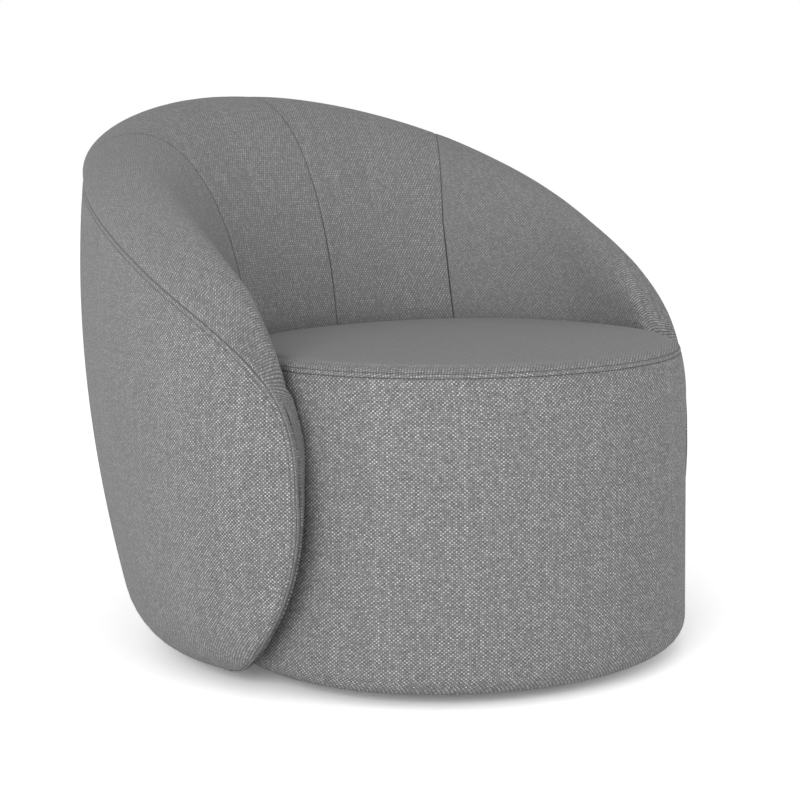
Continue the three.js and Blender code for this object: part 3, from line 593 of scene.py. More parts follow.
def elastic_webbing():
    """Black elastic webbing with ribs along its length."""
    shader = Shader("elastic_webbing")
    place = shader.coordinates()
    x, y, _ = shader.axes(place)
    ribs = (x * 1800.0).sine() * (y * 1800.0).sine()
    wear = shader.noise(place, 40.0, 4.0)
    colour = shader.mixed(wear, (0.030, 0.028, 0.026, 1), (0.065, 0.060, 0.055, 1))
    return shader.set(Base_Color=colour, Roughness=0.85 + wear * 0.1, Normal=shader.bump(ribs, 0.0004))


def floor_felt():
    """Dense dark felt."""
    shader = Shader("floor_felt")
    place = shader.coordinates()
    hairs = shader.noise(place, 600.0, 8.0, 0.75)
    lumps = shader.noise(place, 50.0, 3.0)
    colour = shader.mixed(lumps, (0.022, 0.022, 0.023, 1), (0.045, 0.044, 0.043, 1))
    return shader.set(Base_Color=colour, Roughness=0.93 + hairs * 0.05, Normal=shader.bump(hairs, 0.0008))


def dust_lining():
    """Thin black non-woven lining with a point-bonded grid."""
    shader = Shader("dust_lining")
    place = shader.coordinates()
    x, y, _ = shader.axes(place)
    points = ((x * 1500.0).sine() * (y * 1500.0).sine()).clipped()
    fibres = shader.noise(place, 350.0, 6.0, 0.7)
    colour = shader.mixed(fibres, (0.010, 0.010, 0.011, 1), (0.030, 0.030, 0.031, 1))
    return shader.set(Base_Color=colour, Roughness=0.8 + fibres * 0.12, Normal=shader.bump(points, 0.0003))


def material(maker):
    """The material that bears its maker's name, made once."""
    return bpy.data.materials.get(maker.__name__) or maker()


# The faces of the drum and the shell: how far each reaches from the drum's middle, by angle and height


def at_height(levels, height):
    """A size that is known at the plan's three heights, on the parabola through them."""
    total = 0
    for level, own in zip(levels, PLAN_HEIGHTS):
        for other in PLAN_HEIGHTS:
            if other != own:
                level = level * (height - other) / (own - other)
        total = total + level
    return total


def oval_reach(angle, half_width, half_depth, middle):
    across, along = np.sin(angle), np.cos(angle)
    square = (across / half_width) ** 2 + (along / half_depth) ** 2
    linear = along * middle / half_depth ** 2
    constant = (middle / half_depth) ** 2 - 1
    return (linear + np.sqrt(np.maximum(linear ** 2 - square * constant, 0))) / square


def plan_reach(plan, angle, height, inset=0.0):
    middle = at_height(plan["waist"], height)
    half_width = at_height(plan["half_width"], height) - inset
    rear = oval_reach(angle, half_width, at_height(plan["rear"], height) - middle - inset, middle)
    front = oval_reach(angle, half_width, at_height(plan["front"], height) - inset, middle)
    return np.where(rear * np.cos(angle) >= middle, rear, front)


def drum_reach(angle, height):
    flare = DRUM_FLARE * (0.5 - height / SEAM_HEIGHT)
    pinch = np.clip((height - SEAM_HEIGHT + SEAM_PINCH_HEIGHT) / SEAM_PINCH_HEIGHT, 0, 1)
    off = flare - SEAM_PINCH * pinch ** 2
    behind = plan_reach(INNER_PLAN, angle, SEAM_HEIGHT) - WRAP_GAP
    return np.minimum(oval_reach(angle, DRUM_HALF_WIDTH + off, DRUM_HALF_DEPTH + off, 0.0), behind)


def foot_inset(height, rise, inset):
    share = np.clip((FLOOR_GAP + rise - height) / rise, 0, 1)
    return inset * (1 - np.sqrt(1 - share ** 2))


def inner_reach(angle, height):
    free = plan_reach(INNER_PLAN, angle, height)
    wrapped = np.minimum(free, drum_reach(angle, DRUM_HALF_WIDTH / 2) + WRAP_GAP)
    fade = smooth(height, *WRAP_FADE)
    return wrapped * (1 - fade) + free * fade


def outer_reach(angle, height):
    foot = foot_inset(height, SHELL_FOOT_HEIGHT, SHELL_FOOT_INSET)
    room = plan_reach(OUTER_PLAN, angle, height) - inner_reach(angle, height) - WING_FOOT_THICKNESS
    return plan_reach(OUTER_PLAN, angle, height, np.clip(room, 0, foot))


def spots(reach, angle, height):
    flat = reach * np.cos(angle) - SWIVEL_SET_BACK
    return np.stack([reach * np.sin(angle), flat, height + 0 * reach], -1)


def on_face(reach, angle, height):
    return spots(reach(angle, height), angle, height)


# The shell's grid: stations along the rim line, each with rows from the foot over the rim and down inside


def unit(vectors):
    return vectors / np.maximum(np.linalg.norm(vectors, axis=-1, keepdims=True), 1e-12)


def interpolated(place, places, values):
    """Values of several axes at a place, or at many, between those known at places."""
    return np.stack([np.interp(place, places, axis) for axis in values.T], -1)


def run_along(grid, axis):
    """Distance along a grid's rows or columns from its first point."""
    steps = np.linalg.norm(np.diff(grid, axis=axis), axis=-1)
    start = np.zeros_like(np.take(steps, [0], axis))
    return np.concatenate([start, np.cumsum(steps, axis)], axis)


def bezier(points, share):
    last = len(points) - 1
    weights = (math.comb(last, index) * (1 - share) ** (last - index) * share ** index
               for index in range(len(points)))
    return sum(np.multiply.outer(weight, point) for weight, point in zip(weights, points))


def rim_line(count=600):
    """Distances along the rim line, and the line's angle, height and place at each."""
    upper = bezier(RIM_UPPER, np.linspace(0, 1, count))
    lower = bezier(RIM_LOWER, np.linspace(0, 1, count // 2))[1:]
    angle, height = np.vstack([upper, lower]).T
    angle = radians(angle)
    place = np.concatenate([np.linspace(0, 1, count), 1 + np.linspace(0, 1, count // 2)[1:]])
    runs = run_along(np.stack([angle * RIM_REFERENCE_RADIUS, height], -1), 0)
    return runs, np.stack([angle, height, place], -1)


RUNS, LINE = rim_line()
UPPER = LINE[:, 2] < 1
SEAM_RUN = float(np.interp(SIDE_SEAM_ANGLE, LINE[UPPER, 0], RUNS[UPPER]))
END_RUN = float(RUNS[-1])


def dense_at_ends(length, end=True):
    """Places from 0 to a length that crowd towards the start and, where it is a seam too, the end."""
    near = np.array([0.0007, 0.0015, 0.0025, 0.004, 0.006, 0.009, 0.0135])
    last = length - near[::-1] if end else near[:0]
    low, high = near[-1], length - near[-1] if end else length
    middle = np.linspace(low, high, max(2, int((high - low) / STATION_PITCH)) + 1)
    return np.unique(np.concatenate([[0.0], near, middle, last, [length]]))


def half_stations():
    centre = dense_at_ends(SEAM_RUN)
    end = SEAM_RUN + dense_at_ends(END_RUN - SEAM_RUN, end=False)
    return np.concatenate([centre, end[1:]]), len(centre) - 1


class HalfShell:
    """The +X half of the shell: stations along the rim line, each with rows from the foot over the rim."""

    def __init__(self):
        self.runs, self.seam_column = half_stations()
        self.angle, self.height, self.place = interpolated(self.runs, RUNS, LINE).T
        self.foot = TIP_FOOT_ANGLE * np.minimum(1, (self.runs / END_RUN) ** 0.9)
        self.set_edges()
        outer, outer_middles = self.outer_rows()
        rim, rim_middles = self.rim_rows()
        inner, inner_middles = self.inner_rows()
        over_rim = np.clip(1 - np.arange(rim.shape[1] + inner.shape[1]) / (0.7 * rim.shape[1]), 0, 1)
        self.grid = self.skewed(np.concatenate([outer, rim, inner], 1), over_rim)
        self.middles = self.skewed(np.concatenate([outer_middles, rim_middles, inner_middles], 1), over_rim)
        self.seam_row = outer.shape[1] - 1 - len(SEAM_TO_RIM_SHARES)
        self.inner_row = self.grid.shape[1] - inner.shape[1]

    def set_edges(self):
        """Places the outer and the inner edge of the rim and what stands between them."""
        along = np.stack([np.gradient(self.angle) * RIM_REFERENCE_RADIUS, np.gradient(self.height)], -1)
        along = unit(along)
        self.outward = np.stack([-along[:, 1], along[:, 0]], -1)
        step = np.interp(self.place, STEP_PLACES, INNER_STEP)
        aside, up = self.outward.T
        self.inner_angle = self.angle - np.where(up < 0, 1, aside) * step / RIM_REFERENCE_RADIUS
        self.inner_height = self.height - np.where(up < 0, 0, up) * step
        self.inner_foot = self.foot - self.angle + self.inner_angle
        inner_edge = on_face(inner_reach, self.inner_angle, self.inner_height)
        outer_edge = on_face(outer_reach, self.angle, self.height)
        self.middle = (outer_edge + inner_edge) / 2
        self.half = (outer_edge - inner_edge) / 2
        self.half_width = np.linalg.norm(self.half, axis=1)
        rim_run = np.gradient(self.middle, axis=0)
        rim_run[0] = (1, 0, 0)
        crest = unit(np.cross(unit(rim_run), self.half))
        self.crest = crest * np.sign(crest[0, 2])
        self.tall = self.half_width * np.interp(self.place, SWELL_PLACES, RIM_SWELL)

    def outer_rows(self):
        """Rows of the outside from the hem up to the rim line, close together beside the rim seam."""
        fall = self.height - FLOOR_GAP
        run = np.hypot(fall, (self.angle - self.foot) * RIM_REFERENCE_RADIUS)
        drop = self.tall * math.sin(RIM_SEAM_TURN)
        drop = np.minimum(np.maximum(drop, SEAM_LEAST_DROP), MOST_DROP * run)
        seam = drop / run
        near = np.minimum(1.0, MOST_STEPS * run / NEAR_SEAM[0])
        foot_rise = np.minimum(SHELL_FOOT_HEIGHT, MOST_FOOT * fall)
        shares = [1 - foot_rise * (1 - math.cos(turn)) / fall for turn in FOOT_TURNS]
        top = seam + near * NEAR_SEAM[0] / run
        shoulder = shares[-1]
        shares += [shoulder * (1 - part) + top * part for part in WALL_SHARES]
        shares += [seam + near * offset / run for offset in NEAR_SEAM]
        shares += [seam * part for part in SEAM_TO_RIM_SHARES + (0,)]
        rows, middles = [], []
        for share in shares:
            turned = self.angle * (1 - share) + self.foot * share
            level = self.height * (1 - share) + FLOOR_GAP * share
            outer, inner = outer_reach(turned, level), inner_reach(turned, level)
            rows.append(spots(outer, turned, level))
            middles.append(spots((outer + inner) / 2, turned, level + FOOT_CORE_RISE * share))
        return np.stack(rows, 1), np.stack(middles, 1)

    def rim_point(self, turn):
        """A point of the rim, turned from its outer edge over the crest."""
        lean = math.cos(turn) + RIM_CREST_SHIFT * math.sin(turn) ** 2
        return self.middle + self.half * lean + self.crest * (self.tall * math.sin(turn))[:, None]

    def inner_point(self, level):
        """A point of the inner face under the rim's inner edge, leaning as the seams do."""
        fallen = (self.inner_height - level) / np.maximum(self.inner_height - FLOOR_GAP, 0.001)
        slide = fallen * smooth(-self.inner_height, -0.45, -0.33)
        turned = self.inner_angle * (1 - slide) + self.inner_foot * slide
        weight = np.interp(self.angle, LEAN_TURNS, (0, 1, 0)) * smooth(self.height, *LEAN_HEIGHTS)
        turned = turned + SIDE_SEAM_LEAN * (level - SIDE_SEAM_LEVEL) * weight
        inner = inner_reach(turned, level)
        outer = np.maximum(outer_reach(turned, level), inner + LEAST_THICKNESS)
        return spots(inner, turned, level), spots((outer + inner) / 2, turned, level)

    def rim_rows(self):
        """Rows over the crest, then rolling down inside: a long roll at the back, a tight one on the wing."""
        roll = np.interp(self.place, ROLL_PLACES, INNER_ROLL)
        roll = np.minimum(roll, np.maximum(self.inner_height - ROLL_FLOOR, 0))
        self.roll_end = self.inner_height - roll
        end, end_middle = self.inner_point(self.roll_end)
        ahead, _ = self.inner_point(self.roll_end - 0.01)
        fall = unit(ahead - end)
        start = self.rim_point(math.pi / 2)
        over = unit(-self.half)
        first = ROLL_HANDLES[0] * (self.half_width * HANDLE_SHARES[0] + roll * HANDLE_SHARES[1])
        last = ROLL_HANDLES[1] * (self.tall + roll)
        handles = (start, start + over * first[:, None], end - fall * last[:, None], end)
        long_roll = np.clip(roll / LONG_ROLL, 0, 1)[:, None]
        inside_edge = self.middle - self.crest * (RIM_CORE[0] * self.half_width + RIM_CORE[1])[:, None]
        rows = [self.rim_point(math.pi / 2 * step / RIM_ROWS) for step in range(1, RIM_ROWS + 1)]
        middles = [inside_edge] * RIM_ROWS
        for step in range(1, ROLL_ROWS + 1):
            share = step / ROLL_ROWS
            tight = self.rim_point(math.pi / 2 * (1 + share))
            rows.append(bezier(handles, share) * long_roll + tight * (1 - long_roll))
            low = inside_edge * (1 - share) + end_middle * share
            middles.append(low * long_roll + inside_edge * (1 - long_roll))
        return np.stack(rows, 1), np.stack(middles, 1)

    def skewed(self, rows, over_rim):
        """Slides rows along the rim line, so that the side seams lean where they cross the rim."""
        count = rows.shape[1] - len(over_rim)
        slides = np.concatenate([smooth(np.arange(count), 0, count - 5), over_rim])
        weight = np.interp(self.angle, SKEW_TURNS, (0, 1, 0))
        moves = [SEAM_SKEW * RIM_REFERENCE_RADIUS * slide * weight for slide in slides]
        return np.stack([interpolated(self.runs - move, self.runs, rows[:, row])
                         for row, move in enumerate(moves)], 1)

    def inner_rows(self):
        """Rows of the inside from where the rim's roll ends down past the seat."""
        low = FLOOR_GAP + (INSIDE_BOTTOM - FLOOR_GAP) * smooth(self.inner_height, *BOTTOM_FADE)
        low = np.maximum(low, FLOOR_GAP + INSIDE_TUCK * (1 - smooth(self.inner_foot, *TUCK_TURNS)))
        low = np.minimum(low, self.inner_height - 0.001)
        low = np.where(self.roll_end - low < 0.01, np.minimum(low, self.roll_end - 0.0005), low)
        points = [self.inner_point(self.roll_end * (1 - part) + low * part) for part in INNER_SHARES]
        return tuple(np.stack(rows, 1) for rows in zip(*points))


# Cloth pieces


def blend(first, second, share):
    return first + (second - first) * share


def mark(distance, width):
    """1 on a line and hardly anything beyond its width."""
    return np.exp(-(distance / width) ** 2)


def bearing(grid):
    """How far round from the back each point of a grid stands."""
    return np.arctan2(grid[..., 0], grid[..., 1] + SWIVEL_SET_BACK)


def mirrored(grid):
    """The -X half of a grid, with its columns in order from -X to +X."""
    turned = grid[::-1].copy()
    turned[..., 0] *= -1
    return turned


def grid_normals(grid):
    return unit(np.cross(np.gradient(grid, axis=0), np.gradient(grid, axis=1)))


def facing(grid, outside, ring=False):
    """Which way a piece faces at each point. The middle of a ring faces up."""
    normal = grid_normals(grid) * outside
    if ring:
        normal[:, -1] = (0, 0, 1)
    return normal


def edge_distances(grid, seams):
    """The distance of each point to the nearest of a piece's seamed edges, named by side."""
    across, up = run_along(grid, 0), run_along(grid, 1)
    sides = {"first": across, "last": across[-1:] - across, "low": up, "high": up[:, -1:] - up}
    return np.minimum.reduce([sides[side] for side in seams])


def gathers(along, seed):
    """Small uneven waves along a seam."""
    return sum(np.sin(2 * math.pi * along / pitch + seed * (index + 1.7)) / (index + 2)
               for index, pitch in enumerate(GATHER_PITCHES))


def padding_back(front, middles):
    """The hidden side of a padded piece: its face moved towards the middle of what it covers."""
    inward = middles - front
    room = np.maximum(np.linalg.norm(inward, axis=-1, keepdims=True), 1e-9)
    return front + inward / room * np.minimum(settings("padding").pad_depth, 0.45 * room)


def numbered(grid):
    return np.arange(grid.shape[0] * grid.shape[1]).reshape(grid.shape[:2])


def closed(rows):
    return np.concatenate([rows, rows[:1]])


def grid_faces(index, ring):
    """The quads between a grid's numbered points. A ring's last row leads on to its first."""
    rows = closed(index) if ring else index
    return np.stack([rows[:-1, :-1], rows[1:, :-1], rows[1:, 1:], rows[:-1, 1:]], -1).reshape(-1, 4)


def outline(index, ring):
    """The numbers of the points round a piece, in order. A ring ends at its first column."""
    if ring:
        return index[:, 0]
    return np.concatenate([index[:-1, 0], index[-1, :-1], index[:0:-1, -1], index[0, :0:-1]])


def linked(name, data):
    made = bpy.data.objects.new(name, data)
    bpy.context.scene.collection.objects.link(made)
    return made


def inflated(points, outside, ring):
    """Where a grid's points come to lie as cloth under pressure, with its outline held."""
    scene = bpy.context.scene
    index = numbered(points)
    quads = grid_faces(index, ring)
    if outside < 0:
        quads = quads[:, ::-1]
    mesh = bpy.data.meshes.new("padding")
    mesh.from_pydata(points.reshape(-1, 3).tolist(), [], quads.tolist())
    piece = linked("padding", mesh)
    piece.vertex_groups.new(name="seams").add(outline(index, ring).tolist(), 1.0, "REPLACE")
    cloth = piece.modifiers.new("padding", "CLOTH")
    cloth.settings.quality = 4
    cloth.settings.use_pressure = True
    cloth.settings.uniform_pressure_force = settings("padding").pressure
    cloth.settings.vertex_group_mass = "seams"
    cloth.settings.effector_weights.gravity = 0
    cloth.point_cache.frame_start = 1
    cloth.point_cache.frame_end = SWELL_FRAMES
    for moment in range(1, SWELL_FRAMES + 1):
        scene.frame_set(moment)
    shape = piece.evaluated_get(bpy.context.evaluated_depsgraph_get()).data
    places = np.zeros(points.size)
    shape.vertices.foreach_get("co", places)
    scene.frame_set(1)
    bpy.data.objects.remove(piece)
    bpy.data.meshes.remove(mesh)
    return places.reshape(points.shape)


def evened(rise, ring, passes=6):
    """Evens out a grid of heights, with its seamed edges held down."""
    held = np.ones_like(rise)
    held[:, 0] = 0
    if not ring:
        held[0] = held[-1] = held[:, -1] = 0
    for _ in range(passes):
        if ring:
            rows = np.concatenate([rise[-2:-1], rise, rise[1:2]])
            rise = (rows[:-2] + rows[1:-1] * 2 + rows[2:]) / 4
            rise[:, -1] = rise[:, -1].mean()
        else:
            rise[1:-1] = (rise[:-2] + rise[1:-1] * 2 + rise[2:]) / 4
        rise[:, 1:-1] = (rise[:, :-2] + rise[:, 1:-1] * 2 + rise[:, 2:]) / 4
        rise = rise * held
    return rise


def swollen(grid, outside, limit, ring=False):
    """Moves a piece outward as a coarse copy of it swells between its seams, up to a limit."""
    rows, columns = (np.unique(np.linspace(0, size - 1, count).astype(int))
                     for size, count in zip(grid.shape, (SWELL_ROWS, SWELL_COLUMNS)))
    coarse = grid[np.ix_(rows, columns)]
    free = coarse[:-1, :-1] if ring else coarse
    move = inflated(free, outside, ring) - free
    if ring:
        move = closed(np.concatenate([move, move[:, -1:]], 1))
    rise = evened(np.maximum((move * facing(coarse, outside, ring)).sum(-1), 0), ring)
    rise = limit * np.tanh(rise / limit)
    tall = interpolated(np.arange(grid.shape[0]), rows, rise)
    full = interpolated(np.arange(grid.shape[1]), columns, tall.T).T
    return grid + facing(grid, outside, ring) * full[..., None]


def dressed(grid, seams, seed, stitched=()):
    """Dips a piece into its seams and topstitching and lets it stand out between them."""
    sewing, padding = settings("seams"), settings("padding")
    normal = facing(grid, OUTWARD)
    near = edge_distances(grid, seams)
    dip = sewing.groove_depth * np.exp(-(near / sewing.groove_width) ** 1.2)
    puff = padding.panel_puff * smooth(near, *PUFF_REACH)
    along = run_along(grid, 0) + run_along(grid, 1)
    ruck = padding.pucker * gathers(along, seed) * np.exp(-near / GATHER_REACH)
    ruck = ruck * smooth(near, 0, PUFF_REACH[0])
    # Painted shade: a dark line in each seam; the topstitching's line is partly painted shade and partly the
    # thread's colour
    shade = mark(near, DARK_LINE)
    if stitched:
        line = edge_distances(grid, stitched) - sewing.topstitch_offset
        dip = dip + sewing.stitched_depth * mark(line, STITCH_DIP)
        shade = shade + STITCH_SHADE * mark(line, DARK_LINE)
    return grid + normal * (puff + ruck - dip)[..., None], normal, np.clip(shade, 0, 1)


def cloth_object(name, front, back, uv, shade, relief, maker, ring=False):
    """A closed padded piece between two grids, with the cloth's map, its painted shade in seams and above the
    seat, and its yarns' relief.
    A ring's last row leads on to its first, and its last column is a single point."""
    index = numbered(front)
    count = index.size
    edge = outline(index, ring)
    following = np.roll(edge, -1)
    sides = np.stack([edge, following, following + count, edge + count], -1)
    shown = grid_faces(index, ring)
    faces = np.concatenate([shown, (shown + count)[:, ::-1], sides[:, ::-1]])
    mesh = bpy.data.meshes.new(name)
    mesh.from_pydata(np.concatenate([front, back]).reshape(-1, 3).tolist(), [], faces.tolist())
    corners = np.zeros(len(mesh.loops), int)
    mesh.loops.foreach_get("vertex_index", corners)
    maps = np.tile(uv.reshape(-1, 2), (2, 1))
    mesh.uv_layers.new(name="cloth").data.foreach_set("uv", maps[corners].astype(np.float32).ravel())
    for label, values in (("painted_shade", shade), ("yarn_relief", relief)):
        both = np.tile(values.ravel(), 2).astype(np.float32)
        mesh.attributes.new(label, "FLOAT", "POINT").data.foreach_set("value", both)
    return finished(name, mesh, maker)


def finished(name, mesh, maker):
    """The object of a closed mesh, smooth, with its faces turned outward and its material."""
    mesh.polygons.foreach_set("use_smooth", np.ones(len(mesh.polygons), bool))
    mesh.validate()
    mesh.update()
    mesh.calc_loop_triangles()
    volume = 0.0
    for triangle in mesh.loop_triangles:
        a, b, c = (mesh.vertices[corner].co for corner in triangle.vertices)
        volume += a.dot(b.cross(c))
    if volume < 0:
        mesh.flip_normals()
    mesh.materials.append(material(maker))
    return linked(name, mesh)


def settle(piece, *nodes, fill=None):
    """Hands a finished piece to the frame."""
    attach(piece, BODY)
    if nodes:
        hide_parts(*nodes)


def stitch_row(name, distance, front, normal):
    """A row of stitches on a face at one distance from its seam, each a spindle that sinks in at its ends."""
    sewing = settings("seams")
    path, lean = (np.array([interpolated(sewing.topstitch_offset, near, line)
                            for near, line in zip(distance, lines)]) for lines in (front, normal))
    run = run_along(path, 0)
    pitch = sewing.stitch_length + sewing.stitch_gap
    starts = (np.arange(int(run[-1] / pitch)) + 0.5) * pitch
    shares = np.arange(STITCH_RINGS + 1) / STITCH_RINGS
    turns = 2 * math.pi * np.arange(STITCH_SIDES) / STITCH_SIDES
    place = starts[:, None] + sewing.stitch_length * shares
    up = interpolated(place, run, lean)
    step = STITCH_STEP
    ahead = unit(interpolated(place + step, run, path) - interpolated(place - step, run, path))
    side = unit(np.cross(up, ahead))
    bulge = np.sin(math.pi * shares)[:, None]
    thick = sewing.thread_radius * blend(STITCH_ENDS, 1, bulge ** 0.5)
    lift = sewing.thread_radius * (STITCH_RISE * bulge - STITCH_SINK) + thick * np.sin(turns)
    aside = thick * STITCH_BREADTH * np.cos(turns)
    points = (interpolated(place, run, path)[:, :, None] + up[:, :, None] * lift[..., None]
              + side[:, :, None] * aside[..., None])
    index = np.arange(points.size // 3).reshape(points.shape[:3])
    after = np.roll(index, -1, 2)
    quads = np.stack([index[:, :-1], after[:, :-1], after[:, 1:], index[:, 1:]], -1).reshape(-1, 4)
    ends = np.concatenate([index[:, 0, ::-1], index[:, -1]])
    mesh = bpy.data.meshes.new(name)
    mesh.from_pydata(points.reshape(-1, 3).tolist(), [], quads.tolist() + ends.tolist())
    settle(finished(name, mesh, stitching_thread))


def turned_map(grid, level_row, middle):
    """A map with level yarns: the distance round from a middle column, and the height or run over the rim."""
    angle = bearing(grid)
    reach = np.hypot(grid[..., 0], grid[..., 1] + SWIVEL_SET_BACK)
    round_about = (angle - angle[middle:middle + 1]) * reach[middle:middle + 1]
    run = run_along(grid, 1)
    over = grid[:, level_row:level_row + 1, 2] + run[:, level_row:level_row + 1] - run
    rise = np.where(np.arange(grid.shape[1])[None] > level_row, grid[..., 2], over)
    return np.stack([round_about, rise], -1)


def unrolled_map(grid, edge_row, outward):
    """A map for a panel whose rim falls steeply: level yarns on the wall, carried on square over the rim."""
    wall = np.stack([bearing(grid) * RIM_REFERENCE_RADIUS * INSIDE_REACH_SHARE, grid[..., 2]], -1)
    run = run_along(grid, 1)
    over = run[:, edge_row:edge_row + 1] - run
    rim = wall[:, edge_row:edge_row + 1] + outward[:, None] * over[..., None] * RIM_CROWDING
    rows = np.arange(grid.shape[1])[None, :, None]
    return np.where(rows > edge_row, wall, rim)


def outside_surface():
    """Both halves of the outside, from the hem up to the rim seam, and the middle of the shell behind them.
    Then the outside with its seam and stitching, which way it faces and its painted shade."""
    shell = HalfShell()
    halves = (values[:, :shell.seam_row + 1] for values in (shell.grid, shell.middles))
    grid, middles = (np.concatenate([mirrored(half), half[1:]]) for half in halves)
    return grid, middles, *dressed(grid, ("high",), 1.3, ("high",))


def hem_widths(middle, foot):
    """How far in the hem may reach at each column of a foot."""
    room = np.linalg.norm((middle - foot)[:, :2], axis=1)
    return np.minimum(HEM_WIDTH, 0.8 * room)


def with_hem(front, back, shade, widths):
    """Carries a piece's foot on under the chair and up to the lining."""
    foot = front[:, 0]
    up = np.array((0, 0, 1))
    inward = unit((np.array((0, -SWIVEL_SET_BACK, 0)) - foot) * np.array((1, 1, 0)))
    share = widths[:, None] / HEM_WIDTH
    rise = (HEM_TOP - FLOOR_GAP - LINING_GAP) * np.minimum(1, share * 1.4)
    rows = [foot + inward * widths[:, None] + rise * up]
    for index in range(HEM_STEPS):
        turn = math.pi / 2 * index / (HEM_STEPS - 1)
        width = widths[:, None] - HEM_ROUND * share * math.sin(turn)
        rows.append(foot + inward * width + HEM_ROUND * share * (1 - math.sin(turn)) * up)
    hem = np.stack(rows, 1)
    lifted = hem + (HEM_THICKNESS * share * up)[:, None]
    plain = np.zeros(hem.shape[:2])
    return (np.concatenate([hem, front], 1), np.concatenate([lifted, back], 1),
            np.concatenate([plain, shade], 1))


def seat_angles():
    return np.linspace(0, 2 * math.pi, SEAT_ROUND + 1)


def seat_surface():
    """The seat's swollen face from its seam over the soft edge to its middle, and which way it faces."""
    padding = settings("padding")
    angles = seat_angles()
    rise, radius = padding.seat_edge_rise, padding.seat_edge_radius
    top = SEAM_HEIGHT + rise
    profile = [(1.0, radius * (1 - math.cos(turn)), SEAM_HEIGHT + rise * math.sin(turn))
               for turn in np.linspace(0, math.pi / 2, SEAT_EDGE_POINTS)]
    profile += [(share, radius * share, top + padding.seat_crown * (1 - share ** 2) ** SEAT_FLATNESS)
                for share in np.linspace(1, 0, SEAT_TOP_POINTS)[1:]]
    rows = []
    for share, depth, height in profile:
        reach = drum_reach(angles, np.minimum(height, SEAM_HEIGHT)) * share - depth
        tilt = (height - SEAM_HEIGHT) / rise * share * smooth(np.cos(angles), SEAT_TILT_END, 1)
        rows.append(spots(reach, angles, height + padding.seat_rear_rise * tilt))
    grid = np.stack(rows, 1)
    up = math.copysign(1, grid_normals(grid)[:, SEAT_EDGE_POINTS + SEAT_TOP_POINTS // 2, 2].mean())
    grid = swollen(grid, up, padding.seat_swell, ring=True)
    return grid, facing(grid, up, ring=True)


def weld(piece):
    """Joins the points that a ring's last column holds."""
    shape = bmesh.new()
    shape.from_mesh(piece.data)
    bmesh.ops.remove_doubles(shape, verts=shape.verts, dist=1e-6)
    shape.to_mesh(piece.data)
    shape.free()


# One operator for each piece or group of like pieces, and one for the stage


class CHAIR_OT_shell_outside(bpy.types.Operator):
    """Builds the outside cover of the shell, with its rolled foot and hem"""

    bl_idname = "chair.shell_outside"
    bl_label = "Shell outside cover"

    def execute(self, context):
        cloth = settings("cloth")
        grid, middles, front, _, shade = outside_surface()
        widths = np.minimum(hem_widths(middles[:, 0], grid[:, 0]), 0.6 * (grid[:, -1, 2] - FLOOR_GAP))
        front, back, shade = with_hem(front, padding_back(front, middles), shade, widths)
        angle = bearing(front)
        turns = np.linspace(-math.pi, math.pi, 721)
        crowding = 1 + cloth.outside_crowding * (1 - smooth(np.abs(turns), *EDGE_TURNS))
        rounds = np.cumsum(crowding) * (turns[1] - turns[0]) * RIM_REFERENCE_RADIUS
        uv = np.stack([np.interp(angle, turns, rounds), front[..., 2]], -1)
        relief = blend(cloth.rear_relief, cloth.front_relief, smooth(np.abs(angle), *FACE_TURNS))
        piece = cloth_object("outside_cloth", front, back, uv, shade, relief, woven_cloth)
        settle(piece, "shell_outside_cover", fill=0.7)
        return {"FINISHED"}


class CHAIR_OT_shell_inside(bpy.types.Operator):
    """Builds the four inside panels, each from the rim seam over the rim and down to the seat"""

    bl_idname = "chair.shell_inside"
    bl_label = "Shell inside panels"

    foams = {
        "right_centre": ("shell_foam_back",),
        "right_end": ("shell_foam_right",),
        "left_end": ("shell_foam_left",),
    }

    def execute(self, context):
        shell = HalfShell()
        split, edge_row = shell.seam_column, shell.inner_row - shell.seam_row
        for kind, span, seams, seed in (
            ("centre", slice(None, split + 1), ("first", "last", "low"), 2.1),
            ("end", slice(split, None), ("first", "low"), 3.7),
        ):
            grid, middles = shell.grid[span, shell.seam_row:], shell.middles[span, shell.seam_row:]
            front, _, shade = dressed(swollen(grid, OUTWARD, settings("padding").panel_swell), seams, seed)
            back = padding_back(front, middles)
            if kind == "end":
                maker, uv = woven_cloth, unrolled_map(grid, edge_row, shell.outward[span])
            else:
                maker, uv = sheltered_cloth, turned_map(grid, edge_row - LEVEL_ROWS, len(grid) // 2)
            # Painted shade just above the seat, on top of the painted shade in the seams
            shade = np.maximum(shade, self.shelter(grid))
            relief = self.relief(grid, shell.place[span])
            self.add(f"right_{kind}", front, back, uv, shade, relief, maker)
            self.add(f"left_{kind}", mirrored(front), mirrored(back), uv[::-1] * np.array((-1, 1)),
                     shade[::-1], relief[::-1], maker)
        return {"FINISHED"}

    def relief(self, grid, place):
        """Yarns show most where the cloth turns over a front edge, and least deep inside."""
        cloth = settings("cloth")
        rim = blend(cloth.crest_relief, cloth.rim_relief, smooth(place[:, None], *RIM_SHOWS))
        return blend(rim, cloth.inside_relief, smooth(run_along(grid, 1), *INSIDE_FADES))

    def shelter(self, grid):
        """Painted shade: the cloth is darker just above the seat, where little light reaches it."""
        low = 1 - smooth(grid[..., 2], *PAINTED_SHADE_HEIGHTS)
        return settings("cloth").sheltered_shade * low * (1 - smooth(np.abs(bearing(grid)), *PAINTED_SHADE_TURNS))

    def add(self, name, *parts):
        piece = cloth_object(f"inside_cloth_{name}", *parts)
        settle(piece, f"shell_inside_cover_{name}", *self.foams.get(name, ()), fill=0.75)


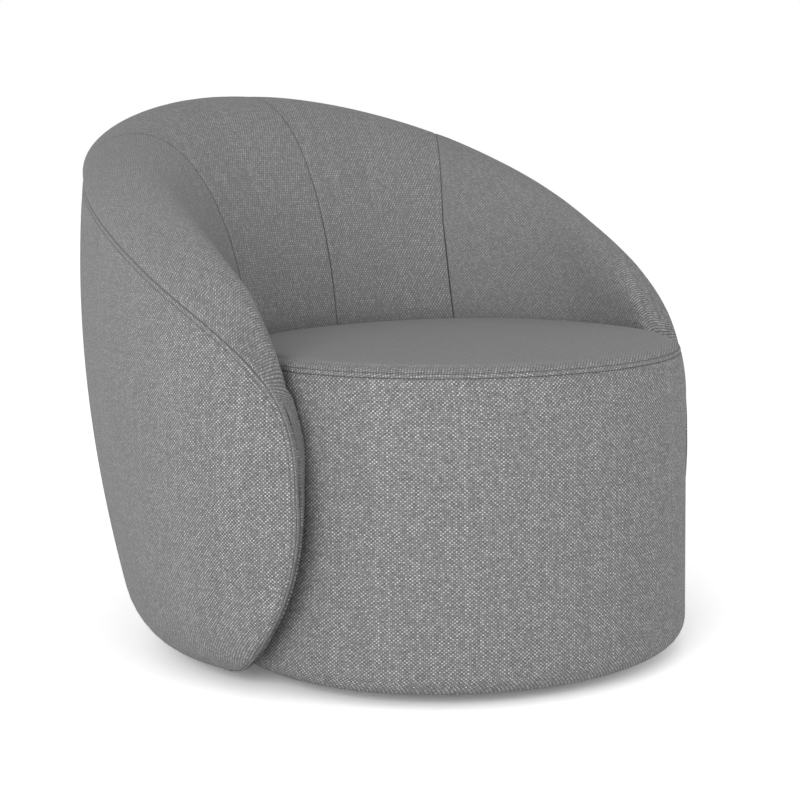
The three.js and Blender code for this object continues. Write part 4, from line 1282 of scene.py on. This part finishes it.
class CHAIR_OT_drum_side(bpy.types.Operator):
    """Builds the drum's upright cloth, with its rolled foot, hem and seam"""

    bl_idname = "chair.drum_side"
    bl_label = "Drum side cover"

    def execute(self, context):
        angles = np.linspace(DRUM_FRONT_ANGLE, 2 * math.pi - DRUM_FRONT_ANGLE, DRUM_COLUMNS)
        foot = [FLOOR_GAP + FOOT_RADIUS * (1 - math.cos(turn)) for turn in FOOT_TURNS]
        shoulder = SEAM_HEIGHT - SEAM_PINCH_HEIGHT
        heights = np.concatenate([
            foot, np.linspace(foot[-1], shoulder, DRUM_WALL_ROWS)[1:],
            np.linspace(shoulder, SEAM_HEIGHT - NEAR_SEAM[0], DRUM_PINCH_ROWS)[1:],
            [SEAM_HEIGHT - step for step in DRUM_NEAR_SEAM]])
        turned, level = np.meshgrid(angles, heights, indexing="ij")
        reach = drum_reach(turned, level) - foot_inset(level, FOOT_RADIUS, FOOT_RADIUS)
        grid = spots(reach, turned, level)
        middles = spots(DRUM_CORE[0] * reach, turned, level + DRUM_CORE[1])
        front, _, shade = dressed(grid, ("high",), 5.1)
        widths = hem_widths(middles[:, 0], grid[:, 0])
        front, back, shade = with_hem(front, padding_back(front, middles), shade, widths)
        relief = np.full_like(shade, settings("cloth").drum_relief)
        around = run_along(front, 0)
        uv = np.stack([around - around[len(angles) // 2], front[..., 2]], -1)
        piece = cloth_object("drum_cloth", front, back, uv, shade, relief, woven_cloth)
        settle(piece, "drum_side_cover", "drum_side_foam", fill=0.7)
        return {"FINISHED"}


class CHAIR_OT_seat(bpy.types.Operator):
    """Builds the seat: a crowned cushion sewn down at the drum's edge"""

    bl_idname = "chair.seat"
    bl_label = "Seat"

    def execute(self, context):
        sewing, cloth = settings("seams"), settings("cloth")
        grid, normal = seat_surface()
        near = run_along(grid, 1)
        line = near - sewing.topstitch_offset
        dip = sewing.groove_depth * np.exp(-(near / sewing.groove_width) ** 1.2)
        dip = dip + sewing.stitched_depth * mark(line, SEAT_STITCH_DIP)
        # Painted shade in the seat's seam, and along its topstitching a line that is partly painted shade and
        # partly the thread's colour
        shade = SEAT_SEAM_SHADE * mark(near, SEAT_SEAM_LINE) + SEAT_STITCH_SHADE * mark(line, DARK_LINE)
        shade = np.clip(shade, 0, 1)
        relief = blend(cloth.seat_edge_relief, cloth.seat_relief, smooth(near, *SEAT_WORN))
        front = grid - normal * dip[..., None]
        back = front - normal * settings("padding").pad_depth
        angles = seat_angles()[:, None]
        out = near[:, -1:] - near
        uv = np.stack([out * np.sin(angles), out * np.cos(angles)], -1)
        grids = (values[:-1] for values in (front, back, uv, shade, relief))
        piece = cloth_object("seat_cloth", *grids, woven_cloth, ring=True)
        weld(piece)
        settle(piece, "seat_cover", "seat_foam", fill=0.85)
        return {"FINISHED"}


class CHAIR_OT_topstitching(bpy.types.Operator):
    """Sews the rows of topstitching beside the rim seam and the seat seam"""

    bl_idname = "chair.topstitching"
    bl_label = "Topstitching"

    def execute(self, context):
        grid, _, front, normal, _ = outside_surface()
        from_seam = edge_distances(grid, ("high",))
        shown = slice(RIM_STITCH_MARGIN, -RIM_STITCH_MARGIN)
        stitch_row("rim_topstitching", *(values[shown, ::-1] for values in (from_seam, front, normal)))
        grid, normal = seat_surface()
        shown = np.abs(seat_angles() - math.pi) < math.pi - DRUM_FRONT_ANGLE + SEAT_STITCH_MARGIN
        stitch_row("seat_topstitching", run_along(grid, 1)[shown], grid[shown], normal[shown])
        return {"FINISHED"}


class CHAIR_OT_frame_finishes(bpy.types.Operator):
    """Gives each solid of the frame and the swivel its own finish"""

    bl_idname = "chair.frame_finishes"
    bl_label = "Frame finishes"

    def execute(self, context):
        makers = {
            "fabric_grey": woven_cloth,
            "foam_cream": foam_rubber,
            "plywood": birch_plywood,
            "hardboard": brown_hardboard,
            "steel": zinc_steel,
            "webbing": elastic_webbing,
            "felt": floor_felt,
            "lining_black": dust_lining,
        }
        slots = {part["node"]: part["material_slot"] for part in frame["record"]["subparts"]}
        for name, node in frame["nodes"].items():
            node.data.materials.clear()
            node.data.materials.append(material(makers[slots[name]]))
        return {"FINISHED"}


class CHAIR_OT_stage(bpy.types.Operator):
    """Sets the pale floor, the soft light and the camera"""

    bl_idname = "chair.stage"
    bl_label = "Stage"

    def execute(self, context):
        stage = settings("stage")
        self.camera(context.scene, stage)
        self.light(context.scene, stage)
        self.floor(stage)
        context.scene.view_settings.view_transform = "Standard"
        return {"FINISHED"}

    def aimed(self, name, data, place, look):
        """Stands a camera or a lamp somewhere, looking along a direction."""
        made = linked(name, data)
        made.location = place
        made.rotation_mode = "QUATERNION"
        made.rotation_quaternion = look.to_track_quat("-Z", "Y")
        return made

    def camera(self, scene, stage):
        data = bpy.data.cameras.new("camera")
        data.lens = stage.lens
        data.sensor_width = 36
        data.clip_end = 100
        level = math.cos(stage.camera_pitch)
        look = Vector((math.sin(stage.camera_heading) * level, math.cos(stage.camera_heading) * level,
                       -math.sin(stage.camera_pitch)))
        scene.camera = self.aimed("camera", data, stage.camera_place, look)

    def light(self, scene, stage):
        scene.world = bpy.data.worlds.new("studio")
        shader = Shader("studio", scene.world)
        shader.set(Color=(1, 1, 1, 1), Strength=shader.seen() * (1 - stage.sky_strength) + stage.sky_strength)
        for name, place, energy in (("key_lamp", stage.key_place, stage.key_power),
                                    ("fill_lamp", stage.fill_place, stage.fill_power)):
            data = bpy.data.lights.new(name, "AREA")
            data.size = stage.lamp_size
            data.energy = energy
            self.aimed(name, data, place, Vector((0, 0, LAMP_AIM_HEIGHT)) - Vector(place))

    def floor(self, stage):
        mesh = bpy.data.meshes.new("floor")
        corners = ((-1, -1), (1, -1), (1, 1), (-1, 1))
        mesh.from_pydata([(x * FLOOR_HALF, y * FLOOR_HALF, 0) for x, y in corners], [], [(0, 1, 2, 3)])
        shader = Shader("pale_floor")
        seen = shader.seen()
        colour = shader.mixed(seen, rgba(stage.floor_colour), rgba(stage.floor_colour, stage.floor_gain))
        mesh.materials.append(shader.set(
            Base_Color=colour, Roughness=0.9, Specular_IOR_Level=0.0,
            Emission_Color=shader.grey(seen * stage.floor_lift), Emission_Strength=1.0))
        linked("floor", mesh)


class CHAIR_PT_build(bpy.types.Panel):
    """Lists the chair's pieces"""

    bl_idname = "CHAIR_PT_build"
    bl_label = "Cuddle chair"
    bl_space_type = "VIEW_3D"
    bl_region_type = "UI"
    bl_category = "Chair"

    def draw(self, context):
        for operator in OPERATORS:
            self.layout.operator(operator.bl_idname)
        for name in SETTINGS:
            group = settings(name)
            box = self.layout.box()
            for key in group.__annotations__:
                box.prop(group, key)


OPERATORS = (
    CHAIR_OT_shell_outside,
    CHAIR_OT_shell_inside,
    CHAIR_OT_drum_side,
    CHAIR_OT_seat,
    CHAIR_OT_topstitching,
    CHAIR_OT_frame_finishes,
    CHAIR_OT_stage,
)
SETTINGS = {
    "cloth": ClothSettings,
    "seams": SeamSettings,
    "padding": PaddingSettings,
    "stage": StageSettings,
}


def register():
    for group in SETTINGS.values():
        bpy.utils.register_class(group)
    for name, group in SETTINGS.items():
        setattr(bpy.types.Scene, "chair_" + name, bpy.props.PointerProperty(type=group))
    for operator in OPERATORS:
        bpy.utils.register_class(operator)
    bpy.utils.register_class(CHAIR_PT_build)


def unregister():
    bpy.utils.unregister_class(CHAIR_PT_build)
    for operator in reversed(OPERATORS):
        bpy.utils.unregister_class(operator)
    for name, group in SETTINGS.items():
        delattr(bpy.types.Scene, "chair_" + name)
        bpy.utils.unregister_class(group)


def build_chair():
    register()
    for operator in OPERATORS:
        group, name = operator.bl_idname.split(".")
        getattr(getattr(bpy.ops, group), name)()


if __name__ == "__main__":
    build_chair()
